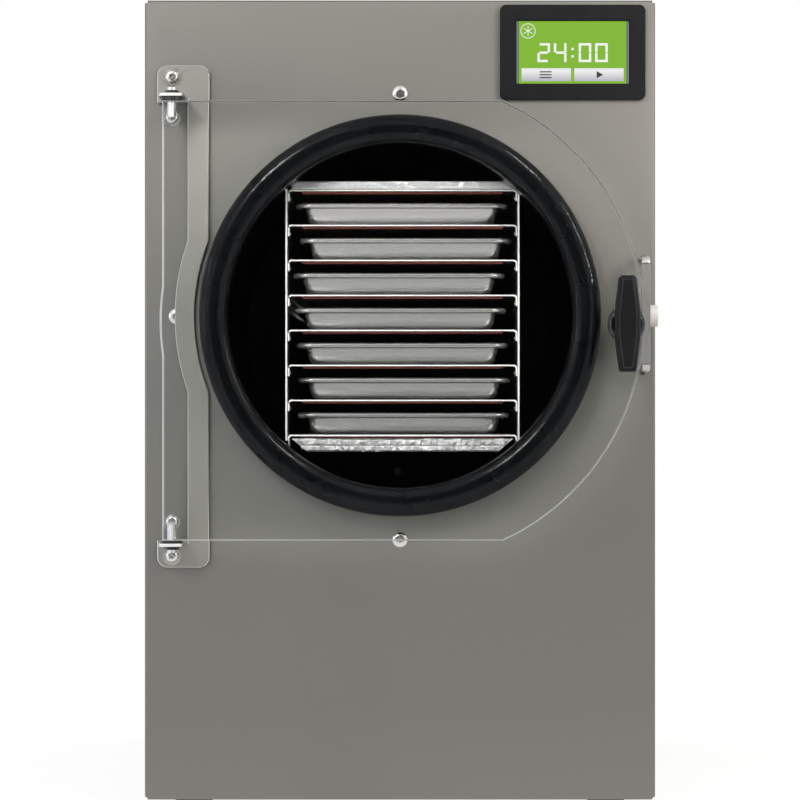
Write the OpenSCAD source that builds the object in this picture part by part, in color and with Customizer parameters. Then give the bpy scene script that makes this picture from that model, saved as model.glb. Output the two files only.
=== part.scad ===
// Cabinet freeze dryer: a clear round-edged door, a vacuum chamber and a rack of trays over heaters.
// Millimetres. +Z is up, the front faces -Y, and the origin is on the floor under the middle.

/* [Cabinet] */
// Width of the cabinet
cab_w = 514; // [510:1:560]
// Height of the cabinet above its feet
cab_h = 805; // [800:1:880]
// Depth of the cabinet from front panel to rear panel
cab_d = 540; // [536:1:620]
// Height of a foot below the cabinet's bottom edge
foot_h = 12; // [8:1:30]
// Radius of a foot
foot_r = 19; // [12:1:26]
// Thickness of the front panel's sheet
front_t = 1.5; // [1:0.1:2]
// Thickness of the casing's, the base's and the rear panel's sheet
case_t = 1.2; // [0.8:0.1:1.5]
// Depth of the front panel's folded edges
fold_d = 20; // [12:1:30]
// Outside radius of the front panel's folds
fold_r = 3; // [2.5:0.1:4]

/* [Chamber] */
// Height of the chamber's axis below the cabinet's top edge
chamber_drop = 318.5; // [310:0.5:325]
// Distance of the drum's inside from the cabinet's sides
drum_side = 73; // [69:0.5:74]
// Wall of the drum
drum_t = 3; // [2:0.1:4]
// Distance of the drum's back plate from the cabinet's rear
drum_back_in = 62; // [58:1:66]
// Thickness of the drum's back plate
drum_back_t = 6; // [4:0.5:8]
// How far the drum's rim stands out of the front panel
rim_d = 20; // [14:1:26]
// Thickness of the drum's mounting flange
flange_t = 3; // [2:0.5:5]
// How far the flange's screws sit outside the drum's inside
flange_screw_out = 40.5; // [39:0.5:44]
// Rubber outside the drum's rim
gasket_out = 12.5; // [10:0.5:14]
// Rubber inside the drum's rim
gasket_in = 13; // [10:0.5:14]
// How far the gasket stands out of the front panel
gasket_d = 38; // [36:1:42]
// Rounding of the gasket's front edges
gasket_round = 8; // [4:0.5:9]

/* [Rack and trays] */
// Distance of the rack's sides from the drum's inside, at the axis
rack_side_in = 66; // [65:0.5:69]
// How far the rack sits right of the chamber's axis
rack_x = 2.5; // [0:0.5:4]
// How far the rack's front sits behind the front panel
rack_back = 8; // [4:1:20]
// Distance of the shelves' back ends from the drum's back plate
shelf_back_in = 20; // [18:1:50]
// Distance of the top shelf from the top of the drum's inside
shelf_top_in = 56; // [54:0.5:60]
// Distance of the bottom shelf from the foot of the drum's inside
shelf_low_in = 65.25; // [64:0.25:69]
// Thickness of a shelf's sheet
shelf_t = 2; // [1:0.1:2.2]
// Depth of a shelf's down-turned side lips
shelf_lip = 12; // [10:0.5:16]
// Thickness of the rack's side plates
side_t = 2.2; // [1.5:0.1:2.6]
// Thickness of a heater pad
pad_t = 2; // [1:0.1:2.5]
// Distance of a heater pad's sides from the rack's sides
pad_side = 17; // [13:0.5:28]
// Distance of a tray's rim from the rack's sides
tray_side_in = 10.5; // [10:0.5:18]
// Height of a tray
tray_h = 22; // [16:0.5:26]
// Radius of a tray's rolled rim
tray_bead = 2.8; // [1.5:0.1:3]
// Width of a tray's flat rim inside the roll
tray_rim = 4; // [2:0.5:5]
// Thickness of a tray's sheet
tray_t = 0.9; // [0.6:0.1:1.5]
// Thickness of the foil shield over the rack
foil_top_t = 8.5; // [5:0.5:9]
// Thickness of the foil shield under the rack
foil_low_t = 13.5; // [8:0.5:16]

/* [Door] */
// Thickness of the clear door
door_t = 20; // [16:0.5:24]
// Gap between the gasket and the door
door_gap = 0.3; // [0.2:0.05:0.6]
// How far the door's round free edge runs past the drum's inside
door_over = 54; // [50:0.5:56]
// How far the door's top and bottom edges run past the drum's inside
door_over_z = 32.25; // [28.5:0.25:36]
// How far the door's middle sits below the chamber's axis
door_drop = 6; // [2:0.5:8]
// Distance of the hinge's axis from the drum's inside
hinge_out = 41; // [39:0.5:43]
// Door left of the hinge's axis
door_heel = 8.5; // [7:0.5:10]
// Radius of a hinge pin
pin_r = 4.4; // [3:0.1:5]
// Depth of a hinge pin's hole in the door
pin_depth = 16; // [10:0.5:22]
// Running clearance of pins and shafts in their holes
run_gap = 0.05; // [0.03:0.01:0.08]
// Thickness of the hinge plate and its ears
plate_t = 3; // [2:0.1:4]
// How far the hinge plate stands off the front panel
plate_gap = 2.8; // [2.6:0.1:5]
// Width of the hinge plate
plate_w = 52; // [50:0.5:53]
// How far the hinge plate runs past the door's top and bottom edges
plate_over = 35.75; // [34:0.25:42]
// Width of the hinge plate's strip between its ears
strip_w = 21; // [18:0.1:23]
// Corner radius of the hinge plate
plate_r = 10; // [4:0.5:12]

/* [Latch] */
// Distance of the latch's shaft from the drum's inside
latch_out = 38; // [36:0.5:39]
// How far the latch's shaft sits below the chamber's axis
latch_drop = 9.5; // [4:0.5:12]
// Length of the wing handle
handle_l = 94; // [80:1:110]
// Width of the wing handle at its middle
handle_w = 24.5; // [20:0.5:28]
// Width of the wing handle at its ends
handle_end_w = 17; // [12:0.5:19]
// Thickness of the wing handle
handle_t = 15; // [12:0.5:18]
// Radius of the collar under the handle
collar_r = 18.5; // [14:0.5:20]
// Thickness of the collar
collar_t = 7; // [4:0.5:10]
// Radius of the latch's shaft
shaft_r = 6; // [4:0.5:7]
// Reach of the tongue from the shaft's axis
tongue_l = 24; // [20:0.5:26]
// Thickness of the tongue
tongue_t = 4; // [3:0.5:5]
// Width of the strike bar
strike_w = 9; // [8:0.5:10]
// Length of the strike bar
strike_l = 117; // [100:1:130]
// Thickness of the strike bar
strike_t = 4; // [3:0.5:5]
// Radius of the nylon stop
stop_r = 11; // [8:0.5:12]
// How far the nylon stop stands out beside the strike bar
stop_out = 8.5; // [5:0.5:10]

/* [Display] */
// Width of the display's bezel
bezel_w = 146; // [140:1:148]
// Height of the display's bezel
bezel_h = 95.5; // [90:0.5:97]
// How far the bezel stands out of the front panel
bezel_d = 6; // [5:0.5:9]
// Corner radius of the bezel
bezel_r = 6; // [3:0.5:9]
// Width of the display's window
window_w = 113; // [105:1:118]
// Height of the display's window
window_h = 63; // [55:1:68]
// Distance of the bezel's right edge from the cabinet's right edge
bezel_side = 10.5; // [8:0.5:14]
// Distance of the bezel's top edge from the cabinet's top edge
bezel_top = 5.5; // [4.5:0.5:7]

/* [Machine] */
// Radius of the evaporator's tube
coil_r = 4.5; // [3:0.1:5]
// Number of the evaporator's turns
coil_turns = 9; // [4:1:12]
// Wall of the insulation
foam_t = 26; // [15:1:28]
// Radius of the compressor's can
comp_r = 80; // [60:1:86]
// Free height over the compressor's discharge tube
comp_over = 12.7; // [8:0.1:50]
// Free height over the condenser
cond_over = 23.7; // [20:0.1:54]
// Distance of the condenser's bends from the casing
cond_side = 8.9; // [4:0.1:12]
// Depth of the condenser's block
cond_d = 44; // [30:1:50]
// Number of the condenser's fins
fin_count = 26; // [10:1:30]
// Distance of the fan's blades from the sides of its shroud
fan_side = 21; // [17:0.5:45]
// Depth of the fan's shroud
fan_d = 38; // [38:1:44]
// Number of the fan's blades
blade_count = 5; // [3:1:6]

/* [Rear fittings] */
// Bore radius of the vacuum port
port_bore_r = 12.5; // [8:0.5:14]
// How far the vacuum port stands out of the rear panel
port_d = 40; // [36:1:45]
// Radius of the drain's bore
drain_bore_r = 5; // [3:0.5:6]
// Bore radius of the drain valve's outlet
outlet_r = 9.3; // [7:0.1:10]
// Length of the drain lever from its stem
lever_l = 62; // [40:1:80]

/* [Hidden] */
$fn = 96;
shelf_count = 8;
tray_count = shelf_count - 1;
seat = 0.3; // clearance of curved and soft seats
hole_gap = 0.3; // clearance of screws in plain holes
thru = 1; // how far a cut runs past a face

// Planes and heights. A depth is a distance in front of the front panel's face.
door_in = gasket_d + door_gap;
door_out = door_in + door_t;
handle_in = door_out + collar_t + seat;
handle_front = handle_in + handle_t;
front_y = handle_front - (cab_d + handle_front + port_d) / 2;
rear_y = front_y + cab_d;
bottom_z = foot_h;
top_z = foot_h + cab_h;
axis_z = top_z - chamber_drop;
case_w = cab_w - 2 * front_t;
case_top = top_z - front_t;
floor_z = bottom_z + front_t; // underside of the base pan
deck_z = floor_z + case_t; // top of the base pan
case_front = front_y + fold_r + 1; // where the casing and base pan start
rear_in = rear_y - case_t; // inner face of the rear panel
case_bend = 2.5;
flange_w = 14; // rear flanges of the casing and the base pan
pan_h = 18; // sides of the base pan
foot_in = 46; // a foot's middle from the cabinet's side, front and rear
foot_stud_r = 3;
foot_stud_h = 6; // stays under the condenser
feet_at = [for (s = [-1, 1], y = [front_y + foot_in, rear_y - foot_in]) [s * (cab_w / 2 - foot_in), y]];

// Cooling slots
slot_w = 5;
slot_pitch = 13;
side_slot_count = 10;
side_slot_l = 70;
side_slot_back = 210; // from the rear panel
side_slot_y = rear_y - side_slot_back;
side_slot_z = deck_z + 60;
rear_slot_count = 8;
rear_slot_l = 120;
rear_slot_in = 30; // from the middle

// Screws of the rear panel: a column down each side and a row along the top
rear_screw_in = 7; // from the casing's edges
rear_screw_r = 2;
side_screw_end = 60; // from the cabinet's ends to the first and last screw of a column
side_screws = 4;
side_screw_pitch = (cab_h - 2 * side_screw_end) / (side_screws - 1);
top_screw_end = 105.5; // from the casing's sides to the row's first and last screw
top_screw_pitch = case_w / 2 - top_screw_end;
rear_screws_at = concat(
  [for (s = [-1, 1], i = [0 : side_screws - 1])
    [s * (case_w / 2 - rear_screw_in), floor_z + side_screw_end + i * side_screw_pitch]],
  [for (i = [-1 : 1]) [i * top_screw_pitch, case_top - rear_screw_in]]
);

// Chamber and gasket
drum_r = cab_w / 2 - drum_side;
drum_l = cab_d - drum_back_in;
drum_out = drum_r + drum_t;
flange_screw_r = drum_r + flange_screw_out;
gasket_r = drum_out + gasket_out;
gasket_bore = drum_r - gasket_in;
flange_r = flange_screw_r + 11;
panel_hole_r = drum_out + 1.5;
flange_back = front_t + flange_t;
drum_end = drum_l + drum_back_t;
coil_path_r = drum_out + seat + coil_r;
coil_start = flange_back + 22;
coil_pitch = (drum_l - coil_start - 24) / (coil_turns - 1);
coil_split = 15; // half the angle left open at the top of each turn
foam_r = coil_path_r + coil_r + seat;
foam_out = foam_r + foam_t;
foam_front = flange_back + 5; // clear of the flange's screws
foam_back = drum_end + 10;
coil_end = foam_back + 6;
link_r = coil_r + 0.15; // joints are a little stouter than the turns
link_lap = link_r + 0.5;
last_angle = coil_turns % 2 == 1 ? 90 + coil_split : 90 - coil_split;

// Cradle under the chamber
cradle_t = 2;
cradle_w = case_w - 4 * case_t - 2 * case_bend;
cradle_gap = 12; // between the deck and the insulation
cradle_front = 60; // behind the front panel
cradle_back = 58; // from the drum's back plate
cradle_l = drum_l - cradle_front - cradle_back;
cradle_y = front_y + cradle_front;
cradle_z = axis_z - foam_out - cradle_gap;
cradle_rail = 34; // what the windows in the cradle's legs leave
saddle_t = 4;
saddle_h = 62;
saddle_in = 24; // from the deck's ends

// Rack
rack_w = 2 * (drum_r - rack_side_in);
shelf_l = drum_l - rack_back - shelf_back_in;
shelf_top = drum_r - shelf_top_in;
shelf_pitch = (shelf_top + drum_r - shelf_low_in) / (shelf_count - 1);
pad_w = rack_w - 2 * pad_side;
tray_w = rack_w - 2 * tray_side_in;
shelf_w = rack_w - 2 * side_t;
rack_y = front_y + rack_back;
shelf_bend = 4.5;
low_lip = 6.5; // the bottom shelf's shorter side lips
side_low = shelf_top - shelf_pitch * (shelf_count - 1) - low_lip;
leg_w = 12;
leg_in = 60; // from the rack's ends
rivet_r = 1.6;
rivet_head_r = 2.6;
rivet_head = 1.1;
rivet_drop = 8.5; // below the shelf's top
rivet_in = 12; // from the shelf's ends
rivet_ys = [rack_y + rivet_in, rack_y + shelf_l - rivet_in];
pad_in = 6; // from the shelf's ends
foil_w = shelf_w - 2 * shelf_t - 4;
foil_low_w = foil_w - 31;
tray_l = shelf_l - 16;
tray_in = 3; // behind the shelf's front edge
tray_taper = 3; // how far each wall leans in from rim to base
tray_round = 8; // lower edges
tray_corner = 14; // corners in plan
tray_shift = [-1, 3, -3.5, -2.5, 0, 1.5, 1]; // where each tray happens to sit across its shelf

// Door and hinge
door_r = drum_r + door_over;
door_h = 2 * (drum_r + door_over_z);
hinge_x = drum_r + hinge_out;
plate_h = door_h + 2 * plate_over;
pin_d = door_in + door_t / 2;
door_z = axis_z - door_drop;
door_x = 2; // middle of the round edge
plate_front = plate_gap + plate_t;
plate_left = -hinge_x - 18.5;
plate_right = plate_left + plate_w;
strip_left = plate_right - strip_w;
ear_left = plate_left + 5.5;
plate_z = door_z + 6;
thin_t = 1; // bright washer against the door
top_spacer_t = 3; // black washer under the top ear
low_spacer_t = 1.5; // black washer on the bottom ear
washer_gap = 0.2; // between the washers and the door
stack_gap = 0.05; // between washers that lie on each other
top_ear_z = door_z + door_h / 2 + washer_gap + thin_t + stack_gap + top_spacer_t;
low_ear_z = door_z - door_h / 2 - washer_gap - thin_t - stack_gap - low_spacer_t;
washer_r = 10.5;
ear_d = pin_d + 13;
ear_round = 7;
bulge_gap = 6.5; // between the gasket and the strip
bulge_w = 19.5;
nut_r = 7;
nut_h = 3.5;
tip_h = 2.5; // cone at the end of a drilled hole
screw_r = 2.8;
button_r = 6.6;
button_h = 4.2;
low_button_r = 7.6;
low_button_h = 2.5;
big_washer_r = 9.4;
big_washer_t = 1;
socket_r = 2.4;
plate_screw_x = -hinge_x - 3.8;
plate_screw_in = 11.5; // from the plate's ends
top_notch_in = 15; // from the top ear down to the screw beside it
low_notch_in = 19; // from the bottom ear up to the screw beside it
strike_stud_r = 1.8;
flange_screws = [for (a = [0 : 90 : 270]) [flange_screw_r * cos(a), axis_z + flange_screw_r * sin(a)]];
plate_screws = [for (s = [-1, 1]) [plate_screw_x, plate_z + s * (plate_h / 2 - plate_screw_in)]];
notch_screws = [[plate_screw_x, top_ear_z - top_notch_in], [plate_screw_x, low_ear_z + low_notch_in]];

// Latch
latch_x = drum_r + latch_out;
latch_z = axis_z - latch_drop;
tongue_out = door_in - 8; // front face of the tongue
tongue_w = 13;
hub_r = 9;
strike_in = tongue_out + seat; // back face of the strike bar
strike_x = latch_x + tongue_l - 6.5;
strike_right = strike_x + strike_w;
strike_z = latch_z + 11;
strike_bend = 9;
strike_r = strike_w / 2 - 0.1; // rounding of the staple's two corners
stop_z = latch_z + 9.5;
stop_d = strike_in - stop_r - 3;
stop_shank_r = 4;
lug_t = 2.3;
lug_r = 8;
bevel = 2.5; // front edges of the handle
boss_z = 12; // half the length of the handle's widest part

// Display
bezel_x = cab_w / 2 - bezel_side - bezel_w / 2;
bezel_z = top_z - bezel_top - bezel_h / 2;
glass_t = 3;
glass_lap = 4;
glass_in = 3.6; // the glass's face behind the bezel's face
glass_w = window_w + 2 * glass_lap;
glass_h = window_h + 2 * glass_lap;
glass_front = bezel_d - glass_in;
glass_back = glass_front - glass_t;
board_t = 1.6;
board_off = 7; // from the glass to the display's board

// Machine room
relay_board_w = 120;
relay_board_l = 160;
relay_board_side = 25.5; // from the casing's side
relay_board_in = 40; // behind the front panel
relay_board_post = 12;
comp_side = 137.5; // from the casing's side
comp_x = comp_side - case_w / 2;
comp_y = front_y + 150;
comp_foot = 14;
comp_z = deck_z + comp_foot;
line_r = 4.5; // refrigerant tubes
line_gap = 3; // between the tubes and the deck over them
under_z = cradle_z - cradle_t - line_r - line_gap; // tubes that pass under the cradle's deck
stub_r = 5;
stub_h = 12;
rise_h = 12; // the discharge tube over its stub
comp_h = under_z - 2 * line_r - comp_over - rise_h - stub_h - comp_z;
comp_top = comp_z + comp_h;
stub_y = 30; // the compressor's tube stubs from its axis
comp_stub_z = comp_top + stub_h;
fan_back = rear_in - 2 * case_t;
fan_y = fan_back - fan_d;
cond_y = fan_y - cond_d;
cond_low = deck_z + 6;
cond_w = under_z - cond_over - cond_low;
cond_z = cond_low + cond_w / 2;
cond_rows = 6;
row_pitch = cond_w / cond_rows;
bend_r = line_r + 0.4; // the bends are a little stouter than the rows
cond_x = case_w / 2 - case_t - cond_side - bend_r - row_pitch / 2 - cond_w / 2;
function row_z(k) = cond_low + row_pitch / 2 + k * row_pitch;
fin_t = 0.8;
end_t = 2;
cond_stub = 10; // the condenser's two tube ends
fan_r = cond_w / 2 - fan_side;
fan_tip = 1.8;
hub_w = 16;
fan_hub_r = 20;
fan_shaft_r = 4;
motor_r = 25;
motor_l = 13;
grille_pitch = 18;
grille_bar = 4.5;
spider_t = 5;
spider_w = 9;
hub_y = fan_y + fan_d - 3 - hub_w; // front of the fan's hub
blade_t = 1.6;
blade_chord = 40;
blade_pitch = 22;
drier_r = 11;
drier_l = row_z(cond_rows - 1) - row_z(0) - 85;
drier_cone = drier_l * 0.13;
drier_x = cond_x - cond_w / 2 - row_pitch / 2 - line_r - drier_r - 3; // clear of the condenser's bends
drier_low = row_z(0) + 26;
lift_x = drier_x - 25; // where the liquid tube climbs beside the condenser
over_z = cond_low + cond_w + 12; // where it crosses over the condenser
rise_y = rear_in - 22; // where the tubes rise behind the chamber

// Rear fittings
port_x = -80;
port_z = axis_z + 17.5;
port_r = port_bore_r + 6;
port_flange_r = port_r + 12;
port_flange_t = 4;
boss_w = 22;
boss_h = 4;
sensor_r = 9;
sensor_h = 34;
hose_gap = 7.5; // between the drain's hose and the fan's shroud
drain_z = deck_z + 90;
hose_r = drain_bore_r + 2.5;
drain_x = cond_x - cond_w / 2 - hose_gap - hose_r;
turn_gap = 24; // between the suction tube and the drain's hose
turn_x = drain_x + hose_r + line_r + turn_gap;
hose_bend = 12;
drum_drain_z = axis_z - drum_r + 14;
valve_r = outlet_r + 5;
valve_l = 36;
stem_r = 4;
stem_y = rear_y + 15;
lever_t = 3;
lever_w = 13;
lever_z = drain_z + valve_r + 6;
inlet_side = 65.5; // from the casing's side
inlet_x = inlet_side - case_w / 2;
inlet_z = deck_z + 68;
inlet_w = 30;
inlet_h = 58;
inlet_lip = 2.5;
inlet_in = 24;
socket_w = 24;
socket_h = 17;
socket_d = 21;
pin_len = 14;
socket_z = inlet_z - 11;
rocker_z = inlet_z + 16;
rocker_w = 14;
rocker_h = 20;
rocker_end = rocker_h / 2 - 0.6;
rocker_pin_r = 1.5;

// Colours
steel = [0.56, 0.55, 0.52];
bright = [0.75, 0.75, 0.74];
black = [0.07, 0.07, 0.08];
copper = [0.72, 0.42, 0.25];
board_green = [0.1, 0.35, 0.18];

// ---------------------------------------------------------------- shared shapes

// Extrudes an outline of [x, z] from depth d0 to depth d1
module front_plate(d0, d1) {
  translate([0, front_y - d0, 0]) rotate([90, 0, 0]) linear_extrude(d1 - d0) children();
}

// Extrudes an outline of [x, z] from y0 to y1
module wall_plate(y0, y1) {
  translate([0, y1, 0]) rotate([90, 0, 0]) linear_extrude(y1 - y0) children();
}

// Extrudes an outline of [depth, z] from x0 to x1
module side_plate(x0, x1) {
  translate([x0, front_y, 0]) mirror([0, 1, 0]) rotate([90, 0, 90]) linear_extrude(x1 - x0) children();
}

// Round bar along Y from depth d0 to depth d1, r2 at its front end if it tapers
module front_bar(x, z, r, d0, d1, r2 = 0) {
  translate([x, front_y - d0, z]) rotate([90, 0, 0]) cylinder(r1 = r, r2 = r2 > 0 ? r2 : r, h = d1 - d0);
}

// Round bar along Y from y0 to y1
module wall_bar(x, z, r, y0, y1) {
  translate([x, y1, z]) rotate([90, 0, 0]) cylinder(r = r, h = y1 - y0);
}

// Turns a profile of [radius, depth] about the chamber's axis
module chamber_turn(angle = 360) {
  translate([0, front_y, axis_z]) rotate([90, 0, 0]) rotate_extrude(angle = angle, $fn = 180) children();
}

// Rectangle between two corners with round corners
module round_rect(x0, y0, x1, y1, r) {
  translate([x0 + r, y0]) square([x1 - x0 - 2 * r, y1 - y0]);
  translate([x0, y0 + r]) square([x1 - x0, y1 - y0 - 2 * r]);
  for (x = [x0 + r, x1 - r], y = [y0 + r, y1 - r]) translate([x, y]) circle(r);
}

// Box between two corners
module box(a, b) {
  translate(a) cube(b - a);
}

// Section of a sheet folded into a channel that opens upwards, its floor at y = 0
module channel(w, h, t, r) {
  difference() {
    round_rect(-w / 2, 0, w / 2, h + r + t, r);
    round_rect(-w / 2 + t, t, w / 2 - t, h + r + 2 * t, r - t);
    translate([-w / 2 - thru, h]) square([w + 2 * thru, r + 3 * t]);
  }
}

// Straight rod between two points
module rod(a, b, r) {
  v = b - a;
  l = norm(v);
  translate(a) rotate([0, acos(v.z / l), atan2(v.y, v.x)]) cylinder(r = r, h = l);
}

// Tube along a run of points, round at its corners
module pipe(points, r) {
  for (i = [1 : len(points) - 1]) rod(points[i - 1], points[i], r);
  for (i = [1 : len(points) - 2]) translate(points[i]) sphere(r);
}

// Button head with a hex socket, its underside at depth d
module button_head(place, d, r, h) {
  difference() {
    union() {
      front_bar(place[0], place[1], r, d, d + h * 0.4);
      front_bar(place[0], place[1], r, d + h * 0.4, d + h * 0.8, r * 0.84);
      front_bar(place[0], place[1], r * 0.84, d + h * 0.8, d + h, r * 0.6);
    }
    translate([place[0], front_y - d - h * 0.35, place[1]]) rotate([90, 0, 0])
      cylinder(r = socket_r, h = h, $fn = 6);
  }
}

// ---------------------------------------------------------------- cabinet

// Section of a folded edge: a quarter bend about [0, 0] and its return
module fold_section() {
  difference() {
    intersection() {
      circle(fold_r);
      translate([0, -fold_r]) square(fold_r);
    }
    circle(fold_r - front_t);
  }
  translate([fold_r - front_t, 0]) square([front_t, fold_d - fold_r]);
}

// Hole that the display passes through
module display_hole(gap) {
  translate([bezel_x - glass_w / 2 - gap, bezel_z - glass_h / 2 - gap])
    square([glass_w + 2 * gap, glass_h + 2 * gap]);
}

module front_panel() {
  color(steel) {
    front_plate(-front_t, 0) difference() {
      translate([-cab_w / 2 + fold_r, bottom_z + fold_r]) square([cab_w - 2 * fold_r, cab_h - 2 * fold_r]);
      translate([0, axis_z]) circle(panel_hole_r);
      display_hole(1);
      for (p = concat(flange_screws, plate_screws, notch_screws)) translate(p) circle(screw_r + hole_gap);
      for (s = [-1, 1]) translate([strike_x + strike_w / 2, strike_z + s * (strike_l - strike_t) / 2])
        circle(strike_stud_r + hole_gap);
    }
    for (s = [0, 1]) mirror([s, 0, 0]) translate([cab_w / 2 - fold_r, front_y + fold_r, bottom_z + fold_r])
      linear_extrude(cab_h - 2 * fold_r) fold_section();
    translate([cab_w / 2 - fold_r, front_y + fold_r, top_z - fold_r])
      rotate([0, -90, 0]) linear_extrude(cab_w - 2 * fold_r) fold_section();
    translate([cab_w / 2 - fold_r, front_y + fold_r, bottom_z + fold_r]) mirror([0, 0, 1])
      rotate([0, -90, 0]) linear_extrude(cab_w - 2 * fold_r) fold_section();
  }
}

// Two rows of cooling slots in each side of the casing
module side_slots() {
  for (i = [0 : side_slot_count - 1], y = [side_slot_y, side_slot_y + side_slot_l + 16])
    translate([-cab_w / 2 - thru, y, side_slot_z + i * slot_pitch])
      cube([cab_w + 2 * thru, side_slot_l, slot_w]);
}

module casing() {
  color(steel) difference() {
    union() {
      translate([0, 0, case_top]) mirror([0, 0, 1]) wall_plate(case_front, rear_in)
        channel(case_w, case_top - floor_z, case_t, case_bend);
      wall_plate(rear_in - case_t, rear_in) difference() {
        union() {
          translate([-case_w / 2 + case_t / 2, floor_z])
            square([case_w - case_t, case_top - floor_z - case_bend]);
          translate([-case_w / 2 + case_bend, floor_z])
            square([case_w - 2 * case_bend, case_top - floor_z - case_t / 2]);
        }
        translate([-case_w / 2 + flange_w, floor_z - thru])
          square([case_w - 2 * flange_w, case_top - floor_z - flange_w + thru]);
      }
    }
    side_slots();
    rear_screw_holes();
  }
}

module base_pan() {
  pan_w = case_w - 2 * case_t;
  color([0.5, 0.5, 0.5]) difference() {
    union() {
      translate([0, 0, floor_z]) wall_plate(case_front, rear_in - case_t)
        channel(pan_w, pan_h, case_t, case_bend);
      wall_plate(rear_in - 2 * case_t, rear_in - case_t)
        translate([-pan_w / 2 + 4 * case_t, floor_z]) square([pan_w - 8 * case_t, pan_h]);
    }
    rear_screw_holes();
    for (p = feet_at) translate([p[0], p[1], floor_z - thru])
      cylinder(r = foot_stud_r + hole_gap, h = case_t + 2 * thru);
  }
}

module rear_screw_holes() {
  for (p = rear_screws_at)
    wall_bar(p[0], p[1], rear_screw_r + hole_gap, rear_in - 4 * case_t, rear_y + thru);
}

// Ring-and-spoke openings in front of the fan
module grille() {
  difference() {
    translate([cond_x, cond_z]) circle(fan_r);
    for (r = [grille_pitch : grille_pitch : fan_r - grille_pitch / 2])
      translate([cond_x, cond_z]) difference() {
        circle(r + grille_bar / 2);
        circle(r - grille_bar / 2);
      }
    for (a = [0 : 45 : 135]) translate([cond_x, cond_z]) rotate(a)
      square([2 * fan_r + 2, grille_bar], center = true);
  }
}

module rear_panel() {
  color(bright) difference() {
    wall_plate(rear_in, rear_y) difference() {
      translate([-case_w / 2, floor_z]) square([case_w, case_top - floor_z]);
      grille();
      translate([port_x, port_z]) circle(port_r + hole_gap);
      translate([drain_x, drain_z]) circle(valve_r + hole_gap);
      translate([inlet_x - inlet_w / 2 + 2 - hole_gap, inlet_z - inlet_h / 2 + 2 - hole_gap])
        square([inlet_w - 4 + 2 * hole_gap, inlet_h - 4 + 2 * hole_gap]);
      for (i = [0 : rear_slot_count - 1], x = [-rear_slot_l - rear_slot_in, rear_slot_in])
        translate([x, top_z - 60 - i * slot_pitch]) square([rear_slot_l, slot_w]);
    }
    rear_screw_holes();
  }
}

module rear_screws() {
  color(bright) for (p = rear_screws_at) {
    wall_bar(p[0], p[1], rear_screw_r, rear_y - 8, rear_y);
    difference() {
      wall_bar(p[0], p[1], 2 * rear_screw_r, rear_y, rear_y + 2.4);
      wall_bar(p[0], p[1], 1.5, rear_y + 1.2, rear_y + 3);
    }
  }
}

module feet() {
  edge = 4;
  color(black) for (p = feet_at) translate([p[0], p[1], 0]) difference() {
    union() {
      cylinder(r1 = foot_r - edge / 2, r2 = foot_r, h = edge);
      translate([0, 0, edge]) cylinder(r = foot_r, h = floor_z - edge);
      translate([0, 0, floor_z]) cylinder(r = foot_stud_r, h = foot_stud_h);
    }
    translate([0, 0, -thru]) cylinder(r = foot_r / 2, h = 3 + thru);
  }
}

// ---------------------------------------------------------------- chamber

// Rolled drum, open at both ends
module chamber() {
  color([0.3, 0.3, 0.3]) chamber_turn() translate([drum_r, -drum_l]) square([drum_t, drum_l + rim_d]);
}

// Ring round the drum that is screwed to the back of the front panel
module chamber_flange() {
  color([0.3, 0.3, 0.3]) difference() {
    chamber_turn() translate([drum_out, -flange_back]) square([flange_r - drum_out, flange_t]);
    for (p = flange_screws) front_bar(p[0], p[1], screw_r + hole_gap, -flange_back - thru, 0);
  }
}

// Disc on the drum's back end, bored for the vacuum port and the drain
module chamber_back() {
  color([0.3, 0.3, 0.3]) difference() {
    chamber_turn() translate([0, -drum_end]) square([drum_out, drum_back_t]);
    front_bar(port_x, port_z, port_bore_r, -drum_end - thru, -drum_l + thru);
    front_bar(drain_x, drum_drain_z, drain_bore_r, -drum_end - thru, -drum_l + thru);
  }
}

// A U-section ring that sits on the drum's rim, its front edges rounded
module gasket() {
  color(black) chamber_turn() difference() {
    round_rect(gasket_bore, seat - gasket_round * 2, gasket_r, gasket_d, gasket_round);
    translate([gasket_bore - thru, seat - gasket_round * 2 - thru])
      square([gasket_r - gasket_bore + 2 * thru, gasket_round * 2 + thru]);
    translate([drum_r - seat, 0]) square([drum_t + 2 * seat, rim_d]);
  }
}

// A tube wound round the drum, back and forth, its two ends leaving at the back
module evaporator_coil() {
  last_d = -coil_start - (coil_turns - 1) * coil_pitch;
  color(copper) {
    for (i = [0 : coil_turns - 1]) {
      d = -coil_start - i * coil_pitch;
      side = i % 2 == 0 ? coil_split : -coil_split;
      translate([0, front_y - d, axis_z]) rotate([90, 0, 0]) rotate([0, 0, 90 + coil_split])
        rotate_extrude(angle = i == 0 ? 360 - coil_split : 360 - 2 * coil_split)
          translate([coil_path_r, 0]) circle(coil_r);
      if (i < coil_turns - 1) coil_link(90 + side, d - coil_pitch - link_lap, d + link_lap);
    }
    coil_link(90, -coil_end, -coil_start + link_lap);
    coil_link(last_angle, -coil_end, last_d + link_lap);
  }
}

// Straight stretch of the coil's tube along the drum, at an angle round it
module coil_link(a, d0, d1) {
  front_bar(coil_path_r * cos(a), axis_z + coil_path_r * sin(a), link_r, d0, d1);
}

module insulation() {
  color([0.85, 0.8, 0.62]) difference() {
    chamber_turn() polygon([
      [foam_r, -foam_front], [foam_out, -foam_front], [foam_out, -foam_back],
      [0, -foam_back], [0, -drum_end], [foam_r, -drum_end]
    ]);
    for (a = [90, last_angle]) foam_hole(coil_path_r * cos(a), axis_z + coil_path_r * sin(a), link_r);
    foam_hole(port_x, port_z, port_r);
    foam_hole(drain_x, drum_drain_z, hose_r);
  }
}

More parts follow.
